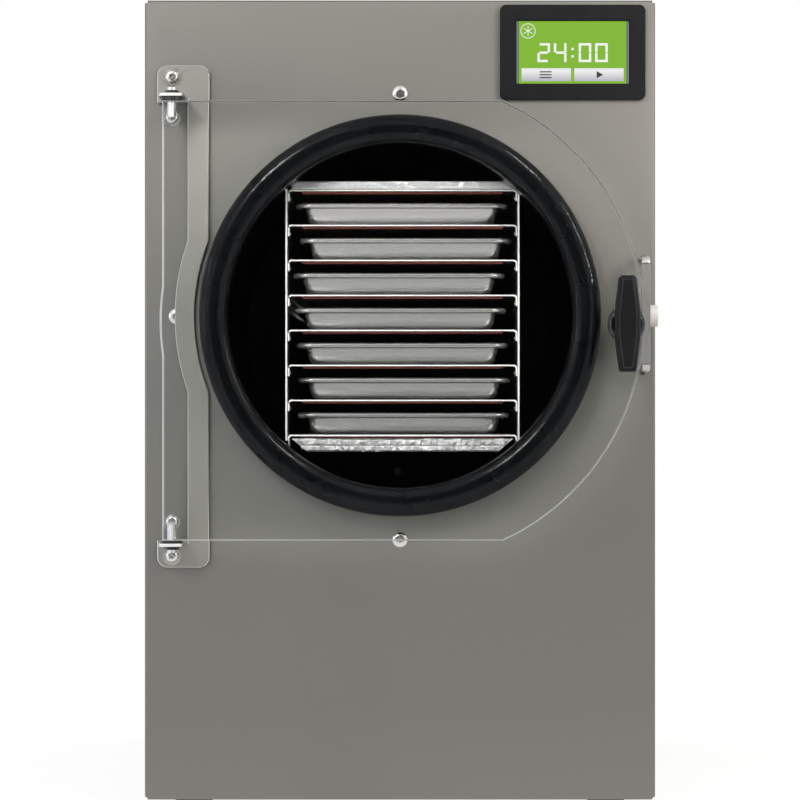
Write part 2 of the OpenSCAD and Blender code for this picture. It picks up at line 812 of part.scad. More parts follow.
// Hole through the insulation's back for a tube of radius r
module foam_hole(x, z, r) {
  front_bar(x, z, r + seat, -foam_back - thru, -drum_end + thru);
}

// Deck folded from sheet, open at its sides, with two saddles under the insulation
module chamber_cradle() {
  color([0.62, 0.62, 0.62]) difference() {
    union() {
      translate([0, 0, cradle_z]) mirror([0, 0, 1]) wall_plate(cradle_y, cradle_y + cradle_l)
        channel(cradle_w, cradle_z - deck_z, cradle_t, case_bend);
      for (y = [cradle_y + saddle_in, cradle_y + cradle_l - saddle_in - saddle_t])
        wall_plate(y, y + saddle_t) difference() {
          translate([-cradle_w / 3, cradle_z - cradle_t]) square([cradle_w * 2 / 3, saddle_h + cradle_t]);
          translate([0, axis_z]) circle(foam_out + seat);
        }
    }
    for (y = [cradle_y + cradle_rail, cradle_y + (cradle_l + cradle_rail) / 2])
      box([-cab_w / 2, y, deck_z + cradle_rail],
          [cab_w / 2, y + (cradle_l - 3 * cradle_rail) / 2, cradle_z - cradle_rail]);
  }
}

// ---------------------------------------------------------------- rack and trays

function shelf_z(i) = axis_z + shelf_top - (i - 1) * shelf_pitch;

// Height of a leg's foot on the drum, from the chamber's axis
function leg_low(s) = -sqrt(pow(drum_r - seat, 2) - pow(rack_w / 2 + s * rack_x, 2));

// One side plate with the two legs that rest on the drum, s = -1 left and 1 right
module rack_side(s) {
  color(bright) difference() {
    translate([rack_x, rack_y, axis_z]) mirror([s < 0 ? 1 : 0, 0, 0]) {
      box([rack_w / 2 - side_t, 0, side_low], [rack_w / 2, shelf_l, shelf_top]);
      for (y = [leg_in, shelf_l - leg_in - leg_w])
        box([rack_w / 2 - side_t, y, leg_low(s)], [rack_w / 2, y + leg_w, side_low + leg_w]);
    }
    rivet_bars(rivet_r + run_gap);
  }
}

// The rivets' shanks, from inside one side plate's lip to outside it
module rivet_bars(r) {
  for (i = [1 : shelf_count - 1], y = rivet_ys, s = [-1, 1])
    translate([rack_x + s * (rack_w / 2 - side_t - shelf_t), y, shelf_z(i) - rivet_drop])
      rotate([0, s * 90, 0]) cylinder(r = r, h = side_t + shelf_t, $fn = 24);
}

module rack_rivets() {
  color(bright) {
    rivet_bars(rivet_r);
    for (i = [1 : shelf_count - 1], y = rivet_ys, s = [-1, 1])
      translate([rack_x + s * (rack_w / 2 - side_t - shelf_t), y, shelf_z(i) - rivet_drop])
        rotate([0, -s * 90, 0])
          cylinder(r1 = rivet_head_r, r2 = rivet_head_r * 0.6, h = rivet_head, $fn = 24);
  }
}

module shelf(i) {
  lip = i == shelf_count ? low_lip : shelf_lip;
  color(bright) difference() {
    translate([rack_x, 0, shelf_z(i)]) mirror([0, 0, 1]) wall_plate(rack_y, rack_y + shelf_l)
      channel(shelf_w, lip, shelf_t, shelf_bend);
    rivet_bars(rivet_r + run_gap);
  }
}

module heater_pads() {
  color([0.45, 0.17, 0.12]) for (i = [1 : shelf_count])
    box([rack_x - pad_w / 2, rack_y + pad_in, shelf_z(i) - shelf_t - pad_t],
        [rack_x + pad_w / 2, rack_y + shelf_l - pad_in, shelf_z(i) - shelf_t]);
}

module foil_top() {
  color(bright) translate([0, 0, shelf_z(1)]) wall_plate(rack_y + 1, rack_y + shelf_l - 1)
    round_rect(rack_x - foil_w / 2, 0, rack_x + foil_w / 2, foil_top_t, 2);
}

module foil_bottom() {
  color(bright) translate([rack_x, 0, shelf_z(shelf_count) - shelf_t - pad_t])
    wall_plate(rack_y + 1, rack_y + shelf_l - 1) polygon([
      [-foil_w / 2, 0], [-foil_low_w / 2, -foil_low_t], [foil_low_w / 2, -foil_low_t], [foil_w / 2, 0]
    ]);
}

// Trapezium that leans in towards its base at z = 0, with round lower corners
module tray_side(w, h, r) {
  lean = atan(tray_taper / h);
  cx = w / 2 - tray_taper * (1 - r / h) - r / cos(lean);
  tx = cx + r * cos(lean);
  tz = r - r * sin(lean);
  polygon([[-w / 2, h], [-tx, tz], [-cx, 0], [cx, 0], [tx, tz], [w / 2, h]]);
  for (s = [-1, 1]) translate([s * cx, r]) circle(r);
}

// Block with leaning sides, about the middle of its base
module tray_block(w, l, h, r, corner) {
  intersection() {
    translate([0, l / 2, 0]) rotate([90, 0, 0]) linear_extrude(l) tray_side(w, h, r);
    translate([-w / 2, 0, 0]) rotate([90, 0, 90]) linear_extrude(w) tray_side(l, h, r);
    linear_extrude(h) round_rect(-w / 2, -l / 2, w / 2, l / 2, corner);
  }
}

// Rolled edge round a rectangle of w by l, about [0, 0]
module tray_roll(w, l, r) {
  c = tray_corner;
  for (s = [-1, 1]) {
    translate([s * w / 2, l / 2 - c, 0]) rotate([90, 0, 0]) cylinder(r = r, h = l - 2 * c);
    translate([-w / 2 + c, s * l / 2, 0]) rotate([0, 90, 0]) cylinder(r = r, h = w - 2 * c);
  }
  for (x = [0, 1], y = [0, 1]) mirror([x, 0, 0]) mirror([0, y, 0]) translate([w / 2 - c, l / 2 - c, 0])
    rotate_extrude(angle = 90) translate([c, 0]) circle(r);
}

module tray(i) {
  body_w = tray_w - 2 * (tray_bead * 2 + tray_rim);
  body_l = tray_l - 2 * (tray_bead * 2 + tray_rim);
  roll_w = tray_w - 2 * tray_bead;
  roll_l = tray_l - 2 * tray_bead;
  color(bright) translate([rack_x + tray_shift[i - 1], rack_y + tray_in + tray_l / 2, shelf_z(i + 1)])
    difference() {
      union() {
        tray_block(body_w, body_l, tray_h, tray_round, tray_corner);
        translate([0, 0, tray_h - tray_t]) linear_extrude(tray_t)
          round_rect(-roll_w / 2, -roll_l / 2, roll_w / 2, roll_l / 2, tray_corner);
        translate([0, 0, tray_h - tray_bead]) tray_roll(roll_w, roll_l, tray_bead);
      }
      translate([0, 0, tray_t]) tray_block(body_w - 2 * tray_t, body_l - 2 * tray_t, tray_h,
        tray_round - tray_t, tray_corner - tray_t);
    }
}

// ---------------------------------------------------------------- door and hinge

module door() {
  color([0.85, 0.9, 0.9, 0.25]) difference() {
    front_plate(door_in, door_out) intersection() {
      union() {
        translate([door_x, door_z]) circle(door_r, $fn = 180);
        translate([-hinge_x - door_heel, door_z - door_h / 2]) square([hinge_x + door_heel + door_x, door_h]);
      }
      translate([-cab_w, door_z - door_h / 2]) square([2 * cab_w, door_h]);
    }
    for (s = [-1, 1]) translate([-hinge_x, front_y - pin_d, door_z]) mirror([0, 0, s < 0 ? 1 : 0])
      translate([0, 0, door_h / 2 - pin_depth]) pin_shape(pin_r + run_gap, pin_depth + thru);
    front_bar(latch_x, latch_z, shaft_r + run_gap, door_in - thru, door_out + thru);
  }
}

// Rod with a cone at its lower end
module pin_shape(r, h) {
  cylinder(r = r, h = h);
  translate([0, 0, -tip_h]) cylinder(r1 = r * 0.05, r2 = r, h = tip_h);
}

// Outline of the hinge plate, its strip bulging round the gasket
module hinge_outline() {
  arc_in = gasket_r + bulge_gap;
  difference() {
    union() {
      round_rect(plate_left, plate_z - plate_h / 2, plate_right, plate_z + plate_h / 2, plate_r);
      intersection() {
        translate([0, axis_z]) circle(arc_in + bulge_w);
        translate([-cab_w / 2, axis_z - gasket_r / 2]) square([cab_w / 2 + plate_right, gasket_r]);
      }
    }
    difference() {
      translate([plate_left - thru, low_ear_z])
        square([strip_left - plate_left + thru, top_ear_z - low_ear_z]);
      translate([0, axis_z]) circle(arc_in + bulge_w);
    }
    translate([0, axis_z]) circle(arc_in);
  }
}

// A forward ear whose lower face is at z, its pin hole drilled
module ear(z) {
  translate([0, 0, z]) linear_extrude(plate_t) difference() {
    translate([0, front_y]) mirror([0, 1]) union() {
      translate([ear_left, plate_gap]) square([strip_left - ear_left, ear_d - plate_gap - ear_round]);
      round_rect(ear_left, ear_d - 3 * ear_round, strip_left, ear_d, ear_round);
    }
    translate([-hinge_x, front_y - pin_d]) circle(pin_r + run_gap);
  }
}

module hinge_plate() {
  color(bright) {
    difference() {
      front_plate(plate_gap, plate_front) hinge_outline();
      for (p = plate_screws) front_bar(p[0], p[1], screw_r + hole_gap, 0, plate_front + thru);
    }
    ear(top_ear_z);
    ear(low_ear_z - plate_t);
  }
}

// Each pin is drilled into the door, passes its washers and ear, and carries a nut
module hinge_pins() {
  pin_l = pin_depth - washer_gap;
  color(bright) for (s = [0, 1]) {
    ear_out = s == 0 ? top_ear_z + plate_t - door_z : door_z - low_ear_z + plate_t;
    translate([-hinge_x, front_y - pin_d, door_z]) mirror([0, 0, s]) {
      translate([0, 0, door_h / 2 - pin_l]) pin_shape(pin_r, ear_out + nut_h + 3 - door_h / 2 + pin_l);
      translate([0, 0, ear_out]) difference() {
        cylinder(r = nut_r, h = nut_h, $fn = 6);
        translate([0, 0, -thru]) cylinder(r = pin_r + run_gap, h = nut_h + 2 * thru);
      }
    }
  }
}

// Ring about the hinge's axis from z to z + t
module hinge_ring(z, t, r) {
  translate([-hinge_x, front_y - pin_d, z]) difference() {
    cylinder(r = r, h = t);
    translate([0, 0, -thru]) cylinder(r = pin_r + run_gap, h = t + 2 * thru);
  }
}

// The washers between the ears and the door, and the spacers behind the plate
module hinge_washers() {
  color(black) hinge_ring(top_ear_z - top_spacer_t, top_spacer_t, washer_r);
  color(black) hinge_ring(low_ear_z, low_spacer_t, washer_r);
  color(bright) hinge_ring(top_ear_z - top_spacer_t - stack_gap - thin_t, thin_t, washer_r - 0.5);
  color(bright) hinge_ring(low_ear_z + low_spacer_t + stack_gap, thin_t, washer_r - 0.5);
  color(bright) for (p = plate_screws) difference() {
    front_bar(p[0], p[1], big_washer_r, 0, plate_gap);
    front_bar(p[0], p[1], screw_r + hole_gap, -thru, plate_gap + thru);
  }
}

// Button screws: two through the hinge plate, two beside it, four through the chamber's flange
module front_screws() {
  color(bright) {
    for (p = plate_screws) {
      button_head(p, plate_front + big_washer_t, button_r, button_h);
      front_bar(p[0], p[1], big_washer_r, plate_front, plate_front + big_washer_t);
      front_bar(p[0], p[1], screw_r, -front_t - 6, plate_front);
    }
    for (p = notch_screws) {
      button_head(p, big_washer_t, button_r, button_h);
      front_bar(p[0], p[1], big_washer_r, 0, big_washer_t);
      front_bar(p[0], p[1], screw_r, -front_t - 6, 0);
    }
    for (p = flange_screws) {
      button_head(p, 0, low_button_r, low_button_h);
      front_bar(p[0], p[1], screw_r, -flange_back - 4, 0);
    }
  }
}

// ---------------------------------------------------------------- latch

// A staple of flat bar with a lug for the nylon stop and two studs into the panel
module strike() {
  color(bright) difference() {
    union() {
      intersection() {
        side_plate(strike_x, strike_right) difference() {
          round_rect(-2 * strike_bend, strike_z - strike_l / 2, strike_in + strike_t,
            strike_z + strike_l / 2, strike_bend);
          round_rect(-3 * strike_bend, strike_z - strike_l / 2 + strike_t, strike_in,
            strike_z + strike_l / 2 - strike_t, strike_bend - strike_t);
          translate([-3 * strike_bend, strike_z - strike_l]) square([3 * strike_bend, 2 * strike_l]);
        }
        front_plate(0, strike_in + strike_t)
          round_rect(strike_x, strike_z - strike_l / 2, strike_right, strike_z + strike_l / 2, strike_r);
      }
      side_plate(strike_right - lug_t, strike_right) {
        translate([stop_d, stop_z]) circle(lug_r);
        translate([stop_d, stop_z - lug_r]) square([strike_in - stop_d, 2 * lug_r]);
      }
      for (s = [-1, 1])
        front_bar(strike_x + strike_w / 2, strike_z + s * (strike_l - strike_t) / 2, strike_stud_r,
          -front_t - 7, 0);
    }
    side_plate(strike_right - 2 * lug_t, strike_right + thru)
      translate([stop_d, stop_z]) circle(stop_shank_r + run_gap);
  }
}

// Nylon stop: a shank through the lug, its thick head outside and a thin one inside
module strike_stop() {
  color([0.92, 0.92, 0.9]) {
    side_plate(strike_right, strike_right + stop_out) translate([stop_d, stop_z]) circle(stop_r);
    side_plate(strike_right - lug_t, strike_right) translate([stop_d, stop_z]) circle(stop_shank_r);
    side_plate(strike_right - lug_t - 1.5, strike_right - lug_t)
      translate([stop_d, stop_z]) circle(stop_shank_r + 2);
  }
}

// Outline of the wing handle about its middle
module wing(inset) {
  e = handle_end_w / 2 - inset;
  w = handle_w / 2 - inset;
  l = handle_l / 2 - inset;
  r = 3;
  polygon([
    [-e, l - r], [-e + r, l], [e - r, l], [e, l - r], [w, boss_z], [w, -boss_z],
    [e, -l + r], [e - r, -l], [-e + r, -l], [-e, -l + r], [-w, -boss_z], [-w, boss_z]
  ]);
  for (x = [-1, 1], z = [-1, 1]) translate([x * (e - r), z * (l - r)]) circle(r);
}

module handle() {
  color(black) difference() {
    translate([latch_x, 0, latch_z]) {
      front_plate(handle_in, handle_front - bevel) wing(0);
      front_plate(handle_front - bevel, handle_front - bevel / 2) wing(bevel * 0.35);
      front_plate(handle_front - bevel / 2, handle_front) wing(bevel);
    }
    front_bar(latch_x, latch_z, shaft_r + run_gap, handle_in - thru, handle_in + 9);
  }
}

module collar() {
  color(black) difference() {
    union() {
      front_bar(latch_x, latch_z, collar_r, door_out, door_out + collar_t - 3);
      front_bar(latch_x, latch_z, collar_r, door_out + collar_t - 3, door_out + collar_t, collar_r - 3);
    }
    front_bar(latch_x, latch_z, shaft_r + run_gap, door_out - thru, door_out + collar_t + thru);
  }
}

// The tongue hangs straight down when the latch is open, and turns right to lock
module latch_tongue() {
  color(bright) {
    front_bar(latch_x, latch_z, shaft_r, door_in - seat, handle_in + 8.5);
    front_bar(latch_x, latch_z, hub_r, tongue_out - tongue_t, door_in - seat);
    translate([latch_x, 0, latch_z]) front_plate(tongue_out - tongue_t, tongue_out) intersection() {
      circle(tongue_l);
      translate([-tongue_w / 2, -tongue_l]) square([tongue_w, tongue_l]);
    }
  }
}

// ---------------------------------------------------------------- display

module bezel() {
  color(black) difference() {
    union() {
      front_plate(0, bezel_d - 1) bezel_outline(0);
      front_plate(bezel_d - 1, bezel_d) bezel_outline(0.8);
    }
    front_plate(-thru, bezel_d + thru) window_outline(0);
    front_plate(bezel_d - 1.2, bezel_d + thru) window_outline(1);
    front_plate(-thru, glass_front) display_hole(seat);
  }
}

module bezel_outline(inset) {
  round_rect(bezel_x - bezel_w / 2 + inset, bezel_z - bezel_h / 2 + inset,
    bezel_x + bezel_w / 2 - inset, bezel_z + bezel_h / 2 - inset, bezel_r);
}

module window_outline(grow) {
  round_rect(bezel_x - window_w / 2 - grow, bezel_z - window_h / 2 - grow,
    bezel_x + window_w / 2 + grow, bezel_z + window_h / 2 + grow, 1.5);
}

module touchscreen() {
  color([0.52, 0.75, 0.25]) front_plate(glass_back, glass_front) display_hole(0);
}

// The display's board and the machine's relay board
module circuit_boards() {
  display_board();
  relay_board();
}

// Board behind the screen on four posts
module display_board() {
  color(board_green) {
    front_plate(glass_back - board_off - board_t, glass_back - board_off) display_hole(-3);
    for (x = [-1, 1], z = [-1, 1])
      front_bar(bezel_x + x * (glass_w / 2 - 9), bezel_z + z * (glass_h / 2 - 9), 3,
        glass_back - board_off, glass_back);
    front_plate(glass_back - board_off - board_t - 4, glass_back - board_off - board_t) {
      translate([bezel_x - 36, bezel_z - 14]) square([26, 26]);
      translate([bezel_x + 8, bezel_z - 22]) square([12, 34]);
    }
  }
}

// ---------------------------------------------------------------- machine room

// Sealed can with a weld seam, a domed top, a foot plate on four grommets and three stubs
module compressor() {
  plate_x = comp_r + 22;
  plate_y = comp_r - 12;
  dome = 34;
  color([0.09, 0.09, 0.1]) translate([comp_x, comp_y, comp_z]) {
    rotate_extrude() polygon(concat(
      [[0, 0], [comp_r - 12, 0], [comp_r, 12], [comp_r, comp_h * 0.55], [comp_r + 4, comp_h * 0.55],
       [comp_r + 4, comp_h * 0.55 + 5], [comp_r - 2, comp_h * 0.55 + 5], [comp_r - 2, comp_h - dome]],
      [[comp_r * 0.75, comp_h - dome * 0.25], [comp_r * 0.45, comp_h], [0, comp_h]]
    ));
    translate([0, 0, -3]) linear_extrude(3) round_rect(-plate_x, -plate_y, plate_x, plate_y, 12);
    for (x = [-1, 1], y = [-1, 1]) translate([x * (plate_x - 14), y * (plate_y - 14), -comp_foot])
      cylinder(r = 10, h = comp_foot - 3);
    for (y = [-1, 1]) translate([0, y * stub_y, comp_h - 10]) cylinder(r = stub_r, h = 10 + stub_h);
    translate([-18, -comp_r - 16, 60]) cube([36, 24, 50]);
  }
}

// Finned coil: plates across runs of tube, joined at their ends by bends with a wider bore
module condenser() {
  x0 = cond_x - cond_w / 2;
  x1 = cond_x + cond_w / 2;
  y = cond_y + cond_d / 2;
  color([0.7, 0.7, 0.68]) {
    for (x = [x0, x1 - end_t]) box([x, cond_y, deck_z], [x + end_t, fan_y, cond_low + cond_w]);
    for (i = [1 : fin_count]) {
      x = x0 + i * (cond_w - end_t) / (fin_count + 1);
      box([x, cond_y + 1, cond_low], [x + fin_t, fan_y - 1, cond_low + cond_w]);
    }
    for (k = [0 : cond_rows - 1]) {
      stub = k == 0 || k == cond_rows - 1 ? cond_stub : 1;
      rod([x0 - stub, y, row_z(k)], [x1 + 1, y, row_z(k)], line_r);
    }
    for (k = [0 : cond_rows - 2]) translate([k % 2 == 0 ? x1 : x0, y, row_z(k) + row_pitch / 2])
      rotate([90, 0, 0]) rotate([0, 0, k % 2 == 0 ? -90 : 90]) rotate_extrude(angle = 180)
        translate([row_pitch / 2, 0]) circle(bend_r);
  }
}

module fan_shroud() {
  color(black) {
    wall_plate(fan_y, fan_back) difference() {
      translate([cond_x - cond_w / 2, deck_z]) square([cond_w, cond_low + cond_w - deck_z]);
      translate([cond_x, cond_z]) circle(fan_r + fan_tip);
    }
    wall_plate(fan_y, fan_y + spider_t) intersection() {
      translate([cond_x, cond_z]) {
        circle(motor_r);
        for (a = [45, 135]) rotate(a) square([2 * fan_r + 8, spider_w], center = true);
      }
      translate([cond_x - cond_w / 2, deck_z]) square([cond_w, cond_w + 6]);
    }
  }
}

module fan_motor() {
  color([0.35, 0.35, 0.36]) {
    wall_bar(cond_x, cond_z, motor_r, fan_y + spider_t, fan_y + spider_t + motor_l - 3);
    wall_bar(cond_x, cond_z, motor_r - 4, fan_y + spider_t + motor_l - 3, hub_y - 1);
    wall_bar(cond_x, cond_z, fan_shaft_r, hub_y - 1, hub_y + hub_w - 2);
  }
}

module fan_blade() {
  color([0.85, 0.85, 0.83]) difference() {
    intersection() {
      union() {
        wall_bar(cond_x, cond_z, fan_hub_r, hub_y, hub_y + hub_w);
        for (i = [0 : blade_count - 1]) translate([cond_x, hub_y + hub_w / 2, cond_z])
          rotate([0, i * 360 / blade_count, 0]) rotate([0, 0, blade_pitch])
            translate([-blade_chord / 2, -blade_t / 2, 0]) cube([blade_chord, blade_t, fan_r + 5]);
      }
      wall_bar(cond_x, cond_z, fan_r, fan_y, fan_back);
    }
    wall_bar(cond_x, cond_z, fan_shaft_r + run_gap, hub_y - thru, hub_y + hub_w - 1.5);
  }
}

// Filter drier: a wide piece of the liquid line with a cone at each end
module drier() {
  translate([drier_x, cond_y + cond_d / 2, drier_low]) {
    cylinder(r1 = line_r, r2 = drier_r, h = drier_cone);
    translate([0, 0, drier_cone]) cylinder(r = drier_r, h = drier_l - 2 * drier_cone);
    translate([0, 0, drier_l - drier_cone]) cylinder(r1 = drier_r, r2 = line_r, h = drier_cone);
  }
}

// Discharge to the condenser, condenser to the drier, drier to the evaporator, and the suction line back
module refrigerant_lines() {
  y = cond_y + cond_d / 2;
  stub_x = cond_x - cond_w / 2 - cond_stub;
  liquid_x = coil_path_r * cos(last_angle);
  liquid_z = axis_z + coil_path_r * sin(last_angle);
  suction_z = axis_z + coil_path_r;
  color(copper) {
    drier();
    pipe([
      [comp_x, comp_y + stub_y, comp_stub_z], [comp_x, comp_y + stub_y, comp_stub_z + rise_h],
      [drier_x, comp_y + stub_y, comp_stub_z + rise_h], [drier_x, y, comp_stub_z + rise_h],
      [drier_x, y, row_z(cond_rows - 1)], [stub_x, y, row_z(cond_rows - 1)]
    ], line_r);
    pipe([[stub_x, y, row_z(0)], [drier_x, y, row_z(0)], [drier_x, y, drier_low]], line_r);
    pipe([
      [drier_x, y, drier_low + drier_l], [drier_x, y, drier_low + drier_l + 10],
      [lift_x, y, drier_low + drier_l + 10], [lift_x, y, over_z], [liquid_x, y, over_z],
      [liquid_x, rise_y, over_z], [liquid_x, rise_y, liquid_z], [liquid_x, front_y + coil_end, liquid_z]
    ], line_r);
    pipe([
      [0, front_y + coil_end, suction_z], [0, rise_y, suction_z], [turn_x, rise_y, suction_z],
      [turn_x, rise_y, under_z], [turn_x, comp_y - stub_y, under_z], [comp_x, comp_y - stub_y, under_z],
      [comp_x, comp_y - stub_y, comp_stub_z]
    ], line_r);
  }
}

// Relay board on four posts, with its transformer, relays and capacitors
module relay_board() {
  w = relay_board_w;
  l = relay_board_l;
  x0 = case_w / 2 - relay_board_side - w;
  y0 = front_y + relay_board_in;
  post = relay_board_post;
  color(board_green) {
    box([x0, y0, deck_z + post], [x0 + w, y0 + l, deck_z + post + board_t]);
    for (x = [x0 + 8, x0 + w - 8], y = [y0 + 8, y0 + l - 8]) translate([x, y, deck_z])
      cylinder(r = 4, h = post);
    translate([x0 + 16, y0 + 20, deck_z + post + board_t]) cube([42, 46, 34]);
    for (i = [0 : 3]) translate([x0 + 74, y0 + 16 + i * 34, deck_z + post + board_t]) cube([28, 20, 18]);
    for (i = [0, 1]) translate([x0 + 30, y0 + 96 + i * 30, deck_z + post + board_t]) cylinder(r = 9, h = 28);
  }
}

// ---------------------------------------------------------------- rear fittings

// Pipe from the drum's back plate out through the rear panel, with a flange and a boss for its sensor
module vacuum_port() {
  y0 = front_y + drum_end;
  color(bright) difference() {
    union() {
      wall_bar(port_x, port_z, port_r, y0, rear_y + port_d);
      wall_bar(port_x, port_z, port_flange_r, rear_y, rear_y + port_flange_t);
      wall_bar(port_x, port_z, port_r + 3, rear_y + port_d - 6, rear_y + port_d);
      translate([port_x - boss_w / 2, rise_y - boss_w / 2 + 2, port_z])
        cube([boss_w, boss_w - 4, port_r + boss_h]);
    }
    wall_bar(port_x, port_z, port_bore_r, y0 - thru, rear_y + port_d + thru);
    translate([port_x, rise_y, port_z]) cylinder(r = 3, h = port_r + boss_h + thru);
  }
}

module vacuum_sensor() {
  color([0.2, 0.25, 0.5]) translate([port_x, rise_y, port_z + port_r + boss_h]) {
    cylinder(r = sensor_r, h = sensor_h);
    translate([0, 0, sensor_h]) cylinder(r = 4, h = 10);
  }
}

// Soft pipe from the foot of the drum's back plate down to the drain valve
module drain_tube() {
  y0 = front_y + drum_end;
  color([0.85, 0.85, 0.8]) difference() {
    drain_run(y0, hose_r);
    drain_run(y0, drain_bore_r);
  }
}

// A straight end, a bend down, a straight fall, a bend back and a straight end
module drain_run(y0, r) {
  b = hose_bend;
  y1 = rise_y - b;
  grow = r < hose_r ? thru : 0;
  wall_bar(drain_x, drum_drain_z, r, y0 - grow, y1);
  translate([drain_x, y1, drum_drain_z - b]) rotate([0, -90, 0])
    rotate_extrude(angle = 90) translate([b, 0]) circle(r);
  translate([drain_x, rise_y, drain_z + b]) cylinder(r = r, h = drum_drain_z - drain_z - 2 * b);
  translate([drain_x, rise_y + b, drain_z + b]) rotate([0, -90, 0]) rotate([0, 0, 180])
    rotate_extrude(angle = 90) translate([b, 0]) circle(r);
  wall_bar(drain_x, drain_z, r, rise_y + b, rear_in - 3 + grow);
}

// Ball valve through the rear panel, closed by its ball, its outlet bored for a hose fitting
module drain_valve() {
  y0 = rear_in - 3;
  y1 = rear_y + valve_l;
  color([0.78, 0.62, 0.3]) difference() {
    union() {
      wall_bar(drain_x, drain_z, valve_r, y0, y1);
      wall_bar(drain_x, drain_z, valve_r + 5, rear_y, rear_y + 3);
      translate([drain_x, stem_y, drain_z]) cylinder(r = stem_r + 4, h = lever_z - drain_z);
    }
    wall_bar(drain_x, drain_z, outlet_r, y1 - 15, y1 + thru);
    wall_bar(drain_x, drain_z, drain_bore_r, y0 - thru, y0 + 4);
    translate([drain_x, stem_y, lever_z - 10]) cylinder(r = stem_r + run_gap, h = 10 + thru);
  }
}

// Lever and stem: closed across the pipe, open along it
module drain_lever() {
  color([0.75, 0.12, 0.1]) translate([drain_x, stem_y, lever_z + run_gap]) {
    translate([0, 0, -9]) cylinder(r = stem_r, h = 9 + lever_t + 4);
    linear_extrude(lever_t) {
      circle(lever_w / 2);
      translate([-lever_l, -lever_w / 2]) square([lever_l, lever_w]);
      translate([-lever_l, 0]) circle(lever_w / 2);
    }
  }
}

// Flanged inlet with its three blades, and the frame of the rocker switch over it
module power_inlet() {
  x0 = inlet_x - inlet_w / 2;
  z0 = inlet_z - inlet_h / 2;
  blades = [[-7, -3], [7, -3], [0, 3]];
  color(black) difference() {
    union() {
      wall_plate(rear_y, rear_y + inlet_lip) round_rect(x0 - 3, z0, x0 + inlet_w + 3, z0 + inlet_h, 3);
      wall_plate(rear_y - inlet_in, rear_y)
        translate([x0 + 2, z0 + 2]) square([inlet_w - 4, inlet_h - 4]);
    }
    wall_plate(rear_y + inlet_lip - socket_d, rear_y + inlet_lip + thru)
      round_rect(inlet_x - socket_w / 2, socket_z - socket_h / 2,
        inlet_x + socket_w / 2, socket_z + socket_h / 2, 2);
    wall_plate(rear_y - 12, rear_y + inlet_lip + thru)
      translate([inlet_x - rocker_w / 2 - seat, rocker_z - rocker_h / 2 - 1])
        square([rocker_w + 2 * seat, rocker_h + 2]);
    translate([inlet_x - rocker_w / 2 - 2, rear_y - 2, rocker_z]) rotate([0, 90, 0])
      cylinder(r = rocker_pin_r + run_gap, h = rocker_w + 4);
  }
  color(bright) for (b = blades)
    wall_plate(rear_y + inlet_lip - socket_d, rear_y + inlet_lip - socket_d + pin_len)
      translate([inlet_x + b[0] - 1, socket_z + b[1] - 2]) square([2, 4]);
}

// Rocker on its own pivot pins, its lower end pressed in
module power_rocker() {
  color([0.5, 0.05, 0.05]) {
    translate([inlet_x - rocker_w / 2, rear_y - 2, rocker_z]) rotate([90, 0, 90]) linear_extrude(rocker_w)
      polygon([
        [-4, -6], [-4, 6], [3.5, rocker_end], [6.2, rocker_end - 0.4],
        [3.5, 0], [4.4, -rocker_end], [2, -rocker_end]
      ]);
    translate([inlet_x - rocker_w / 2 - 1.8, rear_y - 2, rocker_z]) rotate([0, 90, 0])
      cylinder(r = rocker_pin_r, h = rocker_w + 3.6);
  }
}

// ---------------------------------------------------------------- the nodes

front_panel();
casing();
base_pan();
rear_panel();
rear_screws();
feet();
chamber();
chamber_flange();
chamber_back();
gasket();
evaporator_coil();
insulation();
chamber_cradle();
rack_side(-1);  // rack_left
rack_side(1);  // rack_right
rack_rivets();
heater_pads();
foil_top();
foil_bottom();
for (i = [1 : shelf_count]) shelf(i);
for (i = [1 : tray_count]) tray(i);
door();
hinge_plate();
hinge_pins();
hinge_washers();
front_screws();
strike();
strike_stop();
handle();
collar();
latch_tongue();
bezel();
touchscreen();
circuit_boards();
compressor();
condenser();
fan_shroud();
fan_motor();
fan_blade();
refrigerant_lines();
vacuum_port();
vacuum_sensor();
drain_valve();
drain_lever();
drain_tube();
power_inlet();
power_rocker();
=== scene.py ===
"""Looks of the cabinet freeze dryer: finishes, foil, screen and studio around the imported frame."""
import math

import bmesh
import bpy
from mathutils import Matrix, Vector, noise


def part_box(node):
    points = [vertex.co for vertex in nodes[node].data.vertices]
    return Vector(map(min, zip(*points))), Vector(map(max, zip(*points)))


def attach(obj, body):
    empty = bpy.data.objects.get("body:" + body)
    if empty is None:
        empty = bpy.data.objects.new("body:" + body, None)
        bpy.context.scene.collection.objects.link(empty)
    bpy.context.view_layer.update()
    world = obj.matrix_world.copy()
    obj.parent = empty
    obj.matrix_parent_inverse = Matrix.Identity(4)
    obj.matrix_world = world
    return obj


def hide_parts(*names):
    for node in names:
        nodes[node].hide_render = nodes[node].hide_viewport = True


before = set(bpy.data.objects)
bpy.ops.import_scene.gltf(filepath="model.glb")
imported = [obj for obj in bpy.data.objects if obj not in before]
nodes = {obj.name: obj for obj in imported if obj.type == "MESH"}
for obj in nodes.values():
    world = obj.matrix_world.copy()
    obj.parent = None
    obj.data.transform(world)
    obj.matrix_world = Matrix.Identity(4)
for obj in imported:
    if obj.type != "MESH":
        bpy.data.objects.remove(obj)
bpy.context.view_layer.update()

MM = 0.001
SAME_SPOT = 0.004 * MM  # corners closer than this are one
SCRATCHES = 2600  # cycles a metre in brushed sheet


# ---------------------------------------------------------------- finishes

